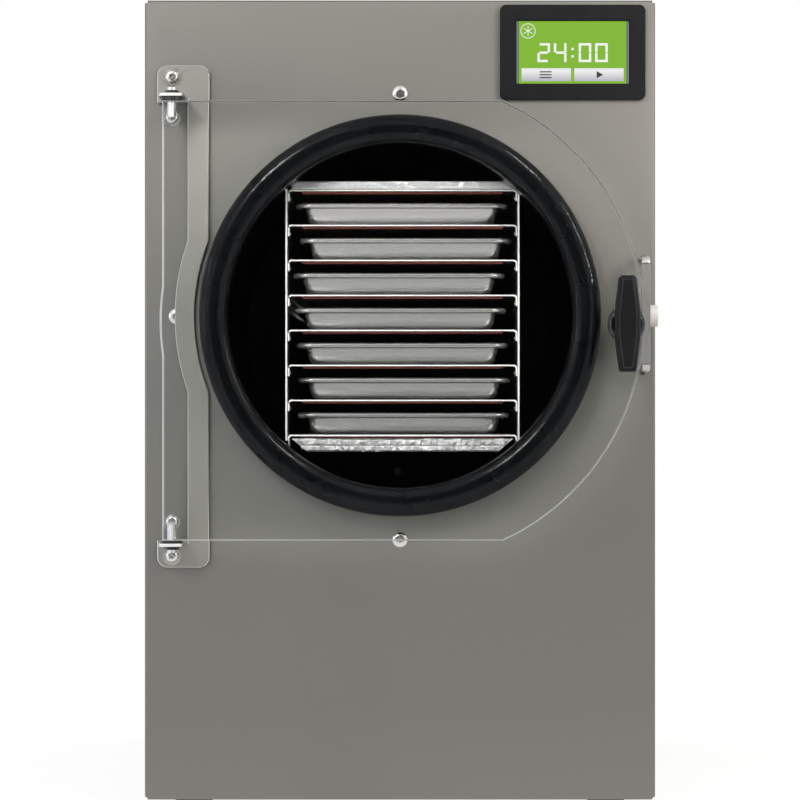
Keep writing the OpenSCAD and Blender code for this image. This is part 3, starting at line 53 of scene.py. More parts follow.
class Finish:
    """A Principled material and short calls for the nodes that feed it."""

    def __init__(self, name, color, roughness, metallic=0.0, **sockets):
        self.mat = bpy.data.materials.new(name)
        self.mat.use_nodes = True
        self.tree = self.mat.node_tree
        self.bsdf = self.tree.nodes["Principled BSDF"]
        self.color = color
        self.set("Base Color", (*color, 1))
        self.set("Roughness", roughness)
        self.set("Metallic", metallic)
        for socket, value in sockets.items():
            self.set(socket.replace("_", " "), value)
        self.where = self.tree.nodes.new("ShaderNodeTexCoord").outputs["Object"]

    def set(self, socket, value):
        self.bsdf.inputs[socket].default_value = value

    def node(self, kind, inputs=None, **settings):
        """A new node. Its inputs take a value or another node's output."""
        made = self.tree.nodes.new("ShaderNode" + kind)
        for key, value in settings.items():
            setattr(made, key, value)
        for key, value in (inputs or {}).items():
            if isinstance(value, bpy.types.NodeSocket):
                self.tree.links.new(value, made.inputs[key])
            else:
                made.inputs[key].default_value = value
        return made

    def feed(self, socket, output):
        self.tree.links.new(output, self.bsdf.inputs[socket])

    def grain(self, scale, detail=3.0, stretch=(1, 1, 1)):
        """Noise from 0 to 1. scale is in cycles a metre, and stretch scales each axis."""
        place = self.node("Mapping", {"Vector": self.where, "Scale": stretch}).outputs["Vector"]
        return self.node("TexNoise", {"Vector": place, "Scale": scale, "Detail": detail}).outputs["Fac"]

    def span(self, fac, low, high, start=0.0, end=1.0):
        """fac from start to end becomes low to high."""
        inputs = {"Value": fac, "From Min": start, "From Max": end, "To Min": low, "To Max": high}
        return self.node("MapRange", inputs).outputs["Result"]

    def place_on(self, axis, start, end):
        """The place on the piece along one axis, as 0 at start and 1 at end."""
        place = self.node("SeparateXYZ", {"Vector": self.where}).outputs[axis]
        return self.span(place, 0.0, 1.0, start, end)

    def maths(self, operation, a, b=0.0):
        return self.node("Math", {0: a, 1: b}, operation=operation).outputs[0]

    def ramp(self, fac, *stops):
        """A colour for each value of fac. A stop is a value and its colour."""
        made = self.node("ValToRGB", {"Fac": fac})
        points = made.color_ramp.elements
        while len(points) < len(stops):
            points.new(1.0)
        for point, (place, color) in zip(points, stops):
            point.position = place
            point.color = (*color, 1)
        return made.outputs["Color"]

    def times(self, tone, shade):
        """Two colours multiplied. They are a Mix node's inputs 6 and 7, and its output 2."""
        inputs = {0: 1.0, 6: tone, 7: shade}
        return self.node("Mix", inputs, data_type="RGBA", blend_type="MULTIPLY").outputs[2]

    def vary(self, fac, amount, low=0.3, high=0.7):
        """The base colour gets darker and lighter by a share as fac goes from low to high."""
        dark = tuple(c * (1 - amount) for c in self.color)
        light = tuple(min(1, c * (1 + amount)) for c in self.color)
        self.feed("Base Color", self.ramp(fac, (low, dark), (high, light)))

    def rough(self, fac, low, high):
        self.feed("Roughness", self.span(fac, low, high))

    def bump(self, height, strength, distance, under=None):
        """Bumps from a height. under is another bump's result, which these lie on."""
        inputs = {"Height": height, "Strength": strength, "Distance": distance}
        if under is not None:
            inputs["Normal"] = under
        made = self.node("Bump", inputs).outputs["Normal"]
        self.feed("Normal", made)
        return made

    def give_way(self, share, other):
        """The surface is another shader by a share, and the Principled one for the rest."""
        mix = self.node("MixShader", {0: share, 1: self.bsdf.outputs[0], 2: other})
        self.tree.links.new(mix.outputs[0], self.tree.nodes["Material Output"].inputs["Surface"])


def brushed(name, color, roughness, along, metallic=0.8, contrast=0.05, depth=0.02):
    """Sheet metal with fine scratches along one axis."""
    made = Finish(name, color, roughness, metallic)
    stretch = tuple(0.02 if axis == along else 1.0 for axis in "XYZ")
    lines = made.grain(SCRATCHES, 4, stretch)
    broad = made.grain(9, 2)
    made.vary(made.maths("ADD", lines, broad), contrast, 0.7, 1.3)
    made.rough(lines, roughness - 0.06, roughness + 0.08)
    made.bump(lines, depth, 0.2 * MM)
    return made.mat


def panel_steel(name, gain):
    """The cabinet's satin sheet, brushed upwards, with painted light and shade in its colour: lighter along
    its foot and darker towards the top. gain lightens it.
    """
    made = Finish(name, (0.2, 0.195, 0.18), 0.5, 0.85)
    made.feed("Tangent", made.node("Tangent", direction_type="RADIAL", axis="Z").outputs[0])
    # Level faces stay plain, because the brushing would run round the axis there
    facing = made.node("SeparateXYZ", {"Vector": made.node("NewGeometry").outputs["Normal"]}).outputs["Z"]
    made.feed("Anisotropic", made.span(made.maths("ABSOLUTE", facing), 0.6, 0.0, 0.4, 0.8))
    lines = made.grain(SCRATCHES, 4, (1.0, 1.0, 0.015))
    clouds = made.grain(5, 2)
    low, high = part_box("front_panel")
    # Painted light and shade: the sheet is lighter along its foot and darker towards its top
    painted_light_and_shade_tones = ((0.0, (0.235, 0.225, 0.205)), (0.12, (0.212, 0.206, 0.188)), (0.5, (0.208, 0.205, 0.19)),
             (0.8, (0.197, 0.192, 0.177)), (1.0, (0.187, 0.182, 0.167)))
    stops = [(place, tuple(gain * c for c in color)) for place, color in painted_light_and_shade_tones]
    tone = made.ramp(made.place_on("Z", low.z, high.z), *stops)
    fine = made.ramp(made.maths("ADD", lines, clouds), (0.7, (0.93, 0.93, 0.93)), (1.3, (1.0, 1.0, 1.0)))
    made.feed("Base Color", made.times(tone, fine))
    made.rough(lines, 0.46, 0.58)
    made.bump(lines, 0.02, 0.2 * MM)
    return made.mat


def tray_steel():
    """Drawn sheet, satin, with painted shade that makes the trays that stand lower greyer."""
    made = Finish("tray_steel", (0.5, 0.49, 0.48), 0.28, 0.85)
    lines = made.grain(1800, 4, (0.03, 1.0, 1.0))
    low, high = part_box("tray_7")[0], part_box("tray_1")[1]
    # Painted shade: darker on the lower trays, lighter on the upper ones
    tone = made.ramp(made.place_on("Z", low.z, high.z), (0.0, (0.33, 0.328, 0.326)),
                     (0.75, (0.41, 0.405, 0.40)), (1.0, (0.55, 0.535, 0.53)))
    fine = made.ramp(lines, (0.3, (0.95, 0.95, 0.95)), (0.7, (1.0, 1.0, 1.0)))
    made.feed("Base Color", made.times(tone, fine))
    made.rough(lines, 0.17, 0.28)
    made.bump(made.grain(90, 2, (0.3, 1.0, 1.0)), 0.06, 0.4 * MM, made.bump(lines, 0.03, 0.1 * MM))
    return made.mat


def moulded(name, color, roughness, texture=0.25, scale=1800, **sockets):
    """Moulded plastic with a fine spark-eroded texture."""
    made = Finish(name, color, roughness, **sockets)
    made.vary(made.grain(40, 3), 0.12)
    made.rough(made.grain(60, 3), roughness - 0.05, roughness + 0.07)
    made.bump(made.grain(scale, 2), texture, 0.1 * MM)
    return made.mat


def rubber():
    """Glossy moulded rubber with faint handling marks."""
    made = Finish("gasket_rubber", (0.0035, 0.004, 0.005), 0.15, 0.0, Specular_IOR_Level=0.15)
    made.vary(made.grain(22, 4), 0.3)
    made.rough(made.grain(35, 4), 0.08, 0.15)
    made.bump(made.grain(18, 2), 0.02, 0.5 * MM)
    return made.mat


def clear_acrylic():
    """Clear sheet that bends what is behind it and lets lamps through."""
    made = Finish("clear_acrylic", (0.985, 0.995, 0.99), 0.0, 0.0, Transmission_Weight=1.0, IOR=1.49)
    lets_light_through(made, 0.95)
    made.vary(made.grain(9, 2), 0.004)
    return made.mat


def lets_light_through(made, share):
    """Lamps shine through the piece, less a little."""
    clear = made.node("BsdfTransparent", {"Color": (share, share, share, 1)}).outputs[0]
    made.give_way(made.node("LightPath").outputs["Is Shadow Ray"], clear)


def frost_edges(piece):
    """The sheet's edges and their chamfers are matt, with a painted white highlight by the hinge and grey
    elsewhere.
    """
    made = Finish("acrylic_edge", (0.84, 0.86, 0.88), 0.35, 0.0, Transmission_Weight=0.45, IOR=1.49)
    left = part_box("door")[0].x
    painted_highlight_width = 20 * MM
    across = made.place_on("X", left, left + painted_highlight_width)
    # Painted highlight: white on the edges by the hinge, grey elsewhere
    made.feed("Base Color", made.ramp(across, (0.1, (0.86, 0.86, 0.93)), (0.4, (0.38, 0.385, 0.385))))
    made.rough(made.grain(400, 2, (1, 0.05, 1)), 0.25, 0.5)
    lets_light_through(made, 0.8)
    piece.data.materials.append(made.mat)
    for face in piece.data.polygons:
        if abs(face.normal.y) < 0.5:
            face.material_index = 1
    piece.modifiers["bevel"].material = 1


def dark_nuts(material):
    """The hinge pins' nuts are dark, the pins stay bright. Only the nuts reach past the pins' radius."""
    pin_radius = 4.8 * MM
    piece = nodes["hinge_pins"]
    piece.data.materials.append(material)
    low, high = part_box("hinge_pins")
    axis = (low + high) / 2
    for face in piece.data.polygons:
        if math.hypot(face.center.x - axis.x, face.center.y - axis.y) > pin_radius:
            face.material_index = 1


def foil(name, grey, low_rough, high_rough, dents):
    """Household aluminium foil."""
    made = Finish(name, (grey, grey, grey * 1.015), 0.3, 0.9)
    made.vary(made.grain(300, 3), 0.08)
    made.rough(made.grain(500, 2), low_rough, high_rough)
    made.bump(made.grain(700, 3), dents, 0.3 * MM)
    return made.mat


def heater_silicone(name, color):
    """Silicone rubber with the weave of the glass cloth in it."""
    made = Finish(name, color, 0.6)
    weave = made.node("TexChecker", {"Vector": made.where, "Scale": 900.0}).outputs["Fac"]
    made.vary(made.grain(120, 3), 0.2)
    made.bump(weave, 0.3, 0.1 * MM)
    return made.mat


def cut_edge_with_painted_sheen():
    """The cut edge of a steel sheet, lighter than the sheet and lightened further to near white as a painted
    highlight.
    """
    made = Finish("cut_edge_painted_sheen", (0.80, 0.80, 0.79), 0.4, 0.2)
    made.vary(made.grain(300, 3), 0.05)
    made.rough(made.grain(900, 2), 0.3, 0.5)
    made.bump(made.grain(1600, 2), 0.06, 0.1 * MM)
    return made.mat


def front_faces(material, *names, within=None):
    """Gives the faces that look to the front a finish of their own, if they lie within a depth."""
    for name in names:
        piece = nodes[name]
        piece.data.materials.append(material)
        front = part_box(name)[0].y
        for face in piece.data.polygons:
            if face.normal.y < -0.7 and (within is None or face.center.y < front + within):
                face.material_index = len(piece.data.materials) - 1


def painted_shade_steel():
    """The drum's dull inside: its steel is given a near-black colour, painted shade for the dark chamber."""
    made = Finish("chamber_steel", (0.025, 0.025, 0.023), 0.5, 0.0, Specular_IOR_Level=0.08)
    made.vary(made.grain(14, 3), 0.3)
    made.rough(made.grain(200, 3), 0.42, 0.6)
    made.bump(made.grain(400, 2), 0.1, 0.2 * MM)
    return made.mat


def foam():
    """Poured foam with open cells."""
    made = Finish("foam", (0.72, 0.62, 0.34), 0.85)
    cells = made.node("TexVoronoi", {"Vector": made.where, "Scale": 380}).outputs["Distance"]
    made.vary(cells, 0.15, 0.1, 0.9)
    made.bump(cells, 0.5, 1.0 * MM)
    return made.mat


def circuit_board():
    """Green boards with a pattern of tracks under their lacquer."""
    made = Finish("circuit_board", (0.02, 0.11, 0.05), 0.35, 0.0, Coat_Weight=0.4)
    tracks = made.node("TexBrick", {"Vector": made.where, "Scale": 130.0, "Mortar Size": 0.03,
                                    "Color1": (0.02, 0.11, 0.05, 1), "Color2": (0.03, 0.15, 0.07, 1),
                                    "Mortar": (0.09, 0.22, 0.09, 1)}).outputs["Color"]
    made.feed("Base Color", tracks)
    made.bump(made.grain(500, 2), 0.1, 0.1 * MM)
    return made.mat


def copper():
    """Drawn copper tube, tarnished in patches."""
    made = Finish("copper", (0.62, 0.29, 0.16), 0.3, 1.0)
    made.vary(made.grain(25, 4), 0.25)
    made.rough(made.grain(60, 3), 0.24, 0.45)
    return made.mat


def brass():
    """Turned brass."""
    made = Finish("valve_brass", (0.60, 0.42, 0.16), 0.28, 1.0)
    made.vary(made.grain(60, 3), 0.12)
    made.rough(made.grain(300, 2), 0.2, 0.38)
    made.bump(made.grain(1500, 2, (1, 0.1, 1)), 0.05, 0.1 * MM)
    return made.mat


def silicone_hose():
    """Milky hose that lets a little light in."""
    made = Finish("hose_silicone", (0.62, 0.61, 0.55), 0.35, 0.0, Subsurface_Weight=0.3)
    made.vary(made.grain(50, 3), 0.08)
    made.rough(made.grain(80, 2), 0.3, 0.45)
    return made.mat


def enamel(name, color, roughness=0.28):
    """Glossy paint with a faint orange peel."""
    made = Finish(name, color, roughness, 0.0, Coat_Weight=0.5, Coat_Roughness=0.15)
    made.vary(made.grain(30, 3), 0.15)
    made.rough(made.grain(50, 3), roughness - 0.06, roughness + 0.1)
    made.bump(made.grain(180, 3), 0.08, 0.3 * MM)
    return made.mat


def lit(name, color, strength, shade=None):
    """A part of the picture that gives its own light. shade is two heights and its tint at the lower one."""
    made = Finish(name, (0.01, 0.01, 0.01), 0.2, 0.0, Specular_IOR_Level=0.2)
    made.set("Emission Strength", strength)
    grid = made.node("TexWave", {"Vector": made.where, "Scale": 900.0}, bands_direction="X").outputs["Fac"]
    glow = made.ramp(grid, (0.0, tuple(c * 0.985 for c in color)), (1.0, color))
    if shade is not None:
        low, high, dark = shade
        glow = made.times(glow, made.ramp(made.place_on("Z", low, high), (0.0, dark), (0.75, (1, 1, 1))))
    made.feed("Emission Color", glow)
    return made.mat


def soften(piece, width, segments, angle):
    """Cuts or rounds the edges that are sharper than an angle in degrees."""
    edge = piece.modifiers.new("bevel", "BEVEL")
    edge.width = width
    edge.segments = segments
    edge.limit_method = "ANGLE"
    edge.angle_limit = math.radians(angle)
    return edge


def keep_sharp(piece):
    """Smooth shading stops at the edges that are sharper than 32 degrees."""
    split = piece.modifiers.new("split", "EDGE_SPLIT")
    split.split_angle = math.radians(32)
    return split


def dress(material, *names, bevel=0.0, segments=2, smooth=True, clamp=True, rim=None):
    """Gives CAD nodes a finish.

    bevel is the width in mm by which sharp edges are softened, and rim is the softened strip's own finish.
    clamp=False softens edges in full even where short ones lie beside them.
    """
    for name in names:
        piece = nodes[name]
        piece.data.materials.clear()
        piece.data.materials.append(material)
        for face in piece.data.polygons:
            face.use_smooth = smooth
        weld = piece.modifiers.new("weld", "WELD")
        weld.merge_threshold = SAME_SPOT
        if not bevel:
            keep_sharp(piece).use_edge_sharp = False
            continue
        edge = soften(piece, bevel * MM, segments, angle=35)
        edge.use_clamp_overlap = clamp
        if rim is not None:
            piece.data.materials.append(rim)
            edge.material = 1
        if smooth:
            flat = piece.modifiers.new("flat", "WEIGHTED_NORMAL")
            flat.weight = 80
            flat.keep_sharp = False


# ---------------------------------------------------------------- building pieces

def mesh_from(name, shape):
    """The bmesh as a mesh. It frees the bmesh."""
    mesh = bpy.data.meshes.new(name)
    shape.to_mesh(mesh)
    shape.free()
    return mesh


def piece_from(name, shape, material, body, replaced=()):
    """A piece of the scene's own, which rides a body and may replace CAD nodes."""
    made = bpy.data.objects.new(name, mesh_from(name, shape))
    bpy.context.scene.collection.objects.link(made)
    made.data.materials.append(material)
    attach(made, body)
    if replaced:
        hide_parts(*replaced)
    return made


def plate(shape, outline, y0, y1):
    """Adds a plate with an outline of (x, z), from y0 at its front to y1."""
    front = [shape.verts.new((x, y0, z)) for x, z in outline]
    back = [shape.verts.new((x, y1, z)) for x, z in outline]
    shape.faces.new(front)
    shape.faces.new(list(reversed(back)))
    count = len(outline)
    for i in range(count):
        j = (i + 1) % count
        shape.faces.new((front[j], front[i], back[i], back[j]))


def rectangle(x0, z0, x1, z1):
    """The corners of a rectangle as (x, z)."""
    return [(x0, z0), (x1, z0), (x1, z1), (x0, z1)]


def ring_of(shape, low, high, inset, z, corner):
    """One level of a tray: a rectangle with round corners, inset from the piece's box."""
    steps = 9
    x0, x1 = low.x + inset, high.x - inset
    y0, y1 = low.y + inset, high.y - inset
    made = []
    for cx, cy, start in ((x1 - corner, y1 - corner, 0), (x0 + corner, y1 - corner, 90),
                          (x0 + corner, y0 + corner, 180), (x1 - corner, y0 + corner, 270)):
        for k in range(steps):
            turn = math.radians(start + 90 * k / (steps - 1))
            made.append(shape.verts.new((cx + corner * math.cos(turn), cy + corner * math.sin(turn), z)))
    return made


def tray_section(top):
    """A tray's section as inset and height: up its outside, over the rim and down its inside."""
    bead, rim, lean, bend, sheet = 2.8 * MM, 4 * MM, 3 * MM, 7.5 * MM, 0.9 * MM
    wall = 2 * bead + rim
    inner_bend = 1 - sheet / bend
    outside, inside = [], []
    # A round bend from the level base up to 80 degrees, where the side goes on
    for k in range(9):
        turn = math.radians(80 * k / 8)
        slide, lift = bend * math.sin(turn), bend * (1 - math.cos(turn))
        outside.append((wall + lean + bend - slide, lift))
        inside.append((wall + sheet + lean + bend - slide * inner_bend, sheet + lift * inner_bend))
    outside += [(wall + 1.6 * MM, top * 0.6), (wall + 0.5 * MM, top - sheet - 1.0 * MM),
                (wall - 0.4 * MM, top - sheet - 0.2 * MM), (2 * bead + 0.8 * MM, top - sheet)]
    # The bead, from its inner side under and round to its top
    for k in range(15):
        turn = math.radians(20 - 290 * k / 14)
        outside.append((bead + bead * math.cos(turn), top - bead + bead * math.sin(turn)))
    inside += [(wall + sheet + 1.6 * MM, top * 0.6), (wall + sheet + 0.6 * MM, top - 1.4 * MM),
               (wall + sheet - 0.4 * MM, top - 0.3 * MM), (wall - 0.6 * MM, top)]
    return outside + inside[::-1]


def tray_corner(inset, lift, top):
    """The radius of one level's corners: less further in from the rim, and more again towards the base."""
    least, at_rim, more_at_base = 7 * MM, 15.5 * MM, 6 * MM
    near_base = max(0.0, 1 - lift / (0.6 * top))
    return max(least, at_rim - inset * 0.75) + more_at_base * near_base ** 2


def trays(names, material):
    """Drawn trays: a round lower edge, leaning sides and a rim that is rolled outwards."""
    for name in names:
        low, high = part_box(name)
        top = high.z - low.z
        shape = bmesh.new()
        rings = []
        for inset, lift in tray_section(top):
            rings.append(ring_of(shape, low, high, inset, low.z + lift, tray_corner(inset, lift, top)))
        for a, b in zip(rings, rings[1:]):
            for i in range(len(a)):
                j = (i + 1) % len(a)
                shape.faces.new((a[i], a[j], b[j], b[i]))
        shape.faces.new(list(reversed(rings[0])))
        shape.faces.new(rings[-1])
        bmesh.ops.recalc_face_normals(shape, faces=shape.faces[:])
        for face in shape.faces:
            face.smooth = len(face.verts) == 4
        piece_from("drawn_" + name, shape, material, "cabinet", [name])


def round_gasket(material):
    """The door's seal, with a front that is round from its bore to its outside."""
    low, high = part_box("gasket")
    middle = (low + high) / 2
    outer = (high.x - low.x) / 2
    width, depth, swell = 28.5 * MM, high.y - low.y, 12 * MM
    bulge_steps, turns = 28, 160
    section = [(outer, high.y)]
    for k in range(bulge_steps + 1):
        turn = math.pi * k / bulge_steps
        bulge = abs(math.sin(turn)) ** 0.72
        side = math.copysign(abs(math.cos(turn)) ** 0.86, math.cos(turn))
        section.append((outer - width / 2 + side * width / 2, high.y - (depth - swell) - swell * bulge))
    section.append((outer - width, high.y))
    shape = bmesh.new()
    rings = []
    for i in range(turns):
        turn = 2 * math.pi * i / turns
        across, up = math.cos(turn), math.sin(turn)
        rings.append([shape.verts.new((middle.x + r * across, y, middle.z + r * up)) for r, y in section])
    for i in range(turns):
        a, b = rings[i], rings[(i + 1) % turns]
        for k in range(len(section)):
            m = (k + 1) % len(section)
            face = shape.faces.new((a[k], a[m], b[m], b[k]))
            face.smooth = k != len(section) - 1
    bmesh.ops.recalc_face_normals(shape, faces=shape.faces[:])
    piece_from("round_gasket", shape, material, "cabinet", ["gasket"])


def solid_of(node):
    """The node's solid as one skin with whole faces, to be worked on."""
    shape = bmesh.new()
    shape.from_mesh(nodes[node].data)
    bmesh.ops.remove_doubles(shape, verts=shape.verts[:], dist=SAME_SPOT)
    bmesh.ops.dissolve_limit(shape, angle_limit=math.radians(1), verts=shape.verts[:], edges=shape.edges[:])
    return shape


def wing_handle(plastic, line):
    """The handle with a lighter, glossier line that runs round its front, a little inside the edge: a painted
    highlight for light caught on a rounded edge.
    """
    painted_sheen_inset, painted_sheen_width, smallest_front = 1.1 * MM, 0.75 * MM, 200 * MM * MM
    shape = solid_of("handle")
    front = [face for face in shape.faces if face.normal.y < -0.95 and face.calc_area() > smallest_front]
    bmesh.ops.inset_region(shape, faces=front, thickness=painted_sheen_inset, use_even_offset=True)
    ring = bmesh.ops.inset_region(shape, faces=front, thickness=painted_sheen_width, use_even_offset=True)["faces"]
    for face in ring:
        face.material_index = 1
    made = piece_from("wing_handle", shape, plastic, "latch", ["handle"])
    made.data.materials.append(line)
    soften(made, width=0.6 * MM, segments=2, angle=30)


def strike_bar(steel):
    """The bent bar with its outer edges well rounded: those of the faces that look away from its middle."""
    sharp_edge = 0.6  # radians
    looks_out = 0.7  # cosine of the angle between a face's way and the way out
    shape = solid_of("strike")
    low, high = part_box("strike")
    inside = Vector(((low.x + high.x) / 2, high.y, (low.z + high.z) / 2))
    edges = []
    for edge in shape.edges:
        if edge.calc_face_angle(0) > sharp_edge:
            away = (edge.verts[0].co + edge.verts[1].co) / 2 - inside
            away.x = 0
            if max(face.normal.dot(away.normalized()) for face in edge.link_faces) > looks_out:
                edges.append(edge)
    bmesh.ops.bevel(shape, geom=edges, offset=1.7 * MM, segments=6, profile=0.5, affect="EDGES",
                    clamp_overlap=False)
    for face in shape.faces:
        face.smooth = True
    made = piece_from("strike_bar", shape, steel, "cabinet", ["strike"])
    keep_sharp(made)


def crease(x, z, wide, tall, seed):
    """Height of a crushed sheet from 0 to 1: sharp folds, mostly upright, over soft swells."""
    def folds(u, v, k):
        """Ridges of noise: 1 along a fold's line and less beside it."""
        return 1 - abs(noise.noise(Vector((u, v, seed + k)))) * 2.2

    broad = folds(x / (wide * 3.1), z / (tall * 3.0), 0.3)
    bend = 0.4 * folds(x / (20 * MM), z / (8 * MM), 4.0)
    upright = folds(x / wide + bend, z / (tall * 1.7), 1.7)
    fine = folds(x / (wide * 0.45), z / (tall * 0.6), 9.1)
    return max(0.0, min(1.0, 0.30 * broad + 0.45 * upright + 0.25 * fine))


def dented_side(shape, edge, outward, front, rear):
    """Carries one edge of a foil's front back to its rear face, in layers with dents."""
    layers, dent_depth, dent_size = 40, 0.9 * MM, 9 * MM
    rings = [edge]
    for k in range(1, layers + 1):
        y = front + (rear - front) * k / layers
        ring = []
        for vert in edge:
            swell = noise.noise(Vector((vert.co.x, vert.co.z, y)) / dent_size)
            dent = dent_depth * (0.5 + 0.5 * swell)
            ring.append(shape.verts.new((vert.co.x - outward[0] * dent, y, vert.co.z - outward[1] * dent)))
        rings.append(ring)
    for lower, upper in zip(rings, rings[1:]):
        for i in range(len(edge) - 1):
            shape.faces.new((lower[i], lower[i + 1], upper[i + 1], upper[i]))


def foil_block(name, node, material, seed, depth, wide, tall, taper=0.0, fold_at=None):
    """A wad of foil: its front is a sheet with creases of a depth, its other sides are dented.

    wide and tall are the size of its folds. Its lower edge is shorter by taper at each end, and fold_at
    is the place of one long fold, as a share of its height.
    """
    low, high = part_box(node)
    cell_wide, cell_tall, edge_band, side_start = 0.9 * MM, 0.8 * MM, 4 * MM, 3 * MM
    fold_band, fold_depth = 0.07, 0.5
    columns = round((high.x - low.x) / cell_wide)
    rows = max(8, round((high.z - low.z) / cell_tall))
    shape = bmesh.new()
    grid = []
    for j in range(rows + 1):
        w = j / rows
        squeeze = taper * (1 - w)
        z = low.z + (high.z - low.z) * w
        line = []
        for i in range(columns + 1):
            u = i / columns
            x = low.x + squeeze + (high.x - low.x - 2 * squeeze) * u
            # The creases are flatter along the sheet's edges, and flatter still at its two ends
            rim = min(1.0, 8 * w, 8 * (1 - w), (x - low.x) / edge_band + 0.2, (high.x - x) / edge_band + 0.2)
            ends = 1 + 1.2 * max(0.0, 1 - min(u, 1 - u) / 0.12)
            height = crease(x, z, wide, tall, seed)
            if fold_at is not None and abs(w - fold_at) < fold_band:
                height -= fold_depth * (1 - abs(w - fold_at) / fold_band)
            y = low.y + depth * (1 - rim * min(1.0, height / ends + 0.15))
            line.append(shape.verts.new((x, y, z)))
        grid.append(line)
    for j in range(rows):
        for i in range(columns):
            shape.faces.new((grid[j][i], grid[j][i + 1], grid[j + 1][i + 1], grid[j + 1][i]))
    for edge, outward in ((grid[-1], (0, 1)), (grid[0][::-1], (0, -1)),
                          ([line[0] for line in grid], (-1, 0)), ([line[-1] for line in grid[::-1]], (1, 0))):
        dented_side(shape, edge, outward, low.y + side_start, high.y)
    bmesh.ops.remove_doubles(shape, verts=shape.verts[:], dist=0.02 * MM)
    bmesh.ops.holes_fill(shape, edges=[edge for edge in shape.edges if edge.is_boundary], sides=0)
    bmesh.ops.recalc_face_normals(shape, faces=shape.faces[:])
    piece_from(name, shape, material, "cabinet", [node])


def foils():
    """The two foil shields: a smooth one over the rack and a crumpled one under it."""
    flat = foil("foil_flat", grey=0.76, low_rough=0.3, high_rough=0.45, dents=0.2)
    foil_block("foil_shield_top", "foil_top", flat, seed=3.0, depth=1.0 * MM, wide=30 * MM, tall=11 * MM)
    crumpled = foil("foil_crumpled", grey=0.5, low_rough=0.34, high_rough=0.5, dents=0.15)
    foil_block("foil_shield_bottom", "foil_bottom", crumpled, seed=8.0, depth=2.2 * MM,
               wide=6 * MM, tall=9 * MM, taper=15.5 * MM, fold_at=0.47)


# ---------------------------------------------------------------- display

def picture_part(name, outlines, level, material):
    """One colour of the display's picture. It stands in front of the glass by as many layers as its level."""
    layer = 0.12 * MM
    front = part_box("touchscreen")[0].y
    shape = bmesh.new()
    for outline in outlines:
        plate(shape, outline, front - level * layer, front)
    piece_from(name, shape, material, "cabinet")


def frost_sign(centre):
    """A ring with a six-armed frost sign in it."""
    outer, inner, arm, half_arm, segments = 7.6 * MM, 6.9 * MM, 5.2 * MM, 0.35 * MM, 48
    outlines = []
    for i in range(segments):
        a, b = 2 * math.pi * i / segments, 2 * math.pi * (i + 1) / segments
        outlines.append([(centre.x + r * math.cos(t), centre.y + r * math.sin(t))
                         for r, t in ((outer, a), (outer, b), (inner, b), (inner, a))])
    for i in range(3):
        turn = math.pi * i / 3 + math.pi / 6
        along = Vector((math.cos(turn), math.sin(turn))) * arm
        across = Vector((-along.y, along.x)).normalized() * half_arm
        corners = (-along - across, along - across, along + across, -along + across)
        outlines.append([tuple(centre + corner) for corner in corners])
    return outlines


def numbers(text, left, base):
    """Digits of seven bars each, and a colon of two squares, from a left end on a base line."""
    width, height, bar, gap = 12.6 * MM, 19.0 * MM, 2.3 * MM, 0.3 * MM
    bars_of = {
        "0": "abcdef", "1": "bc", "2": "abged", "3": "abgcd", "4": "fgbc", "5": "afgcd",
        "6": "afgedc", "7": "abc", "8": "abcdefg", "9": "abcfgd",
    }
    boxes = {
        "a": (bar, height - bar, width - bar, height),
        "b": (width - bar, height / 2 + gap, width, height),
        "c": (width - bar, 0, width, height / 2 - gap),
        "d": (bar, 0, width - bar, bar),
        "e": (0, 0, bar, height / 2 - gap),
        "f": (0, height / 2 + gap, bar, height),
        "g": (bar, (height - bar) / 2, width - bar, (height + bar) / 2),
    }
    step = width + 4.0 * MM
    outlines = []
    for letter in text:
        if letter == ":":
            colon = left + 0.06 * step
            for lift in (4.6 * MM, 12.1 * MM):
                outlines.append(rectangle(colon, base + lift, colon + bar, base + lift + bar))
            left += 0.5 * step
            continue
        for name in bars_of[letter]:
            u0, v0, u1, v1 = boxes[name]
            outlines.append(rectangle(left + u0, base + v0, left + u1, base + v1))
        left += step
    return outlines


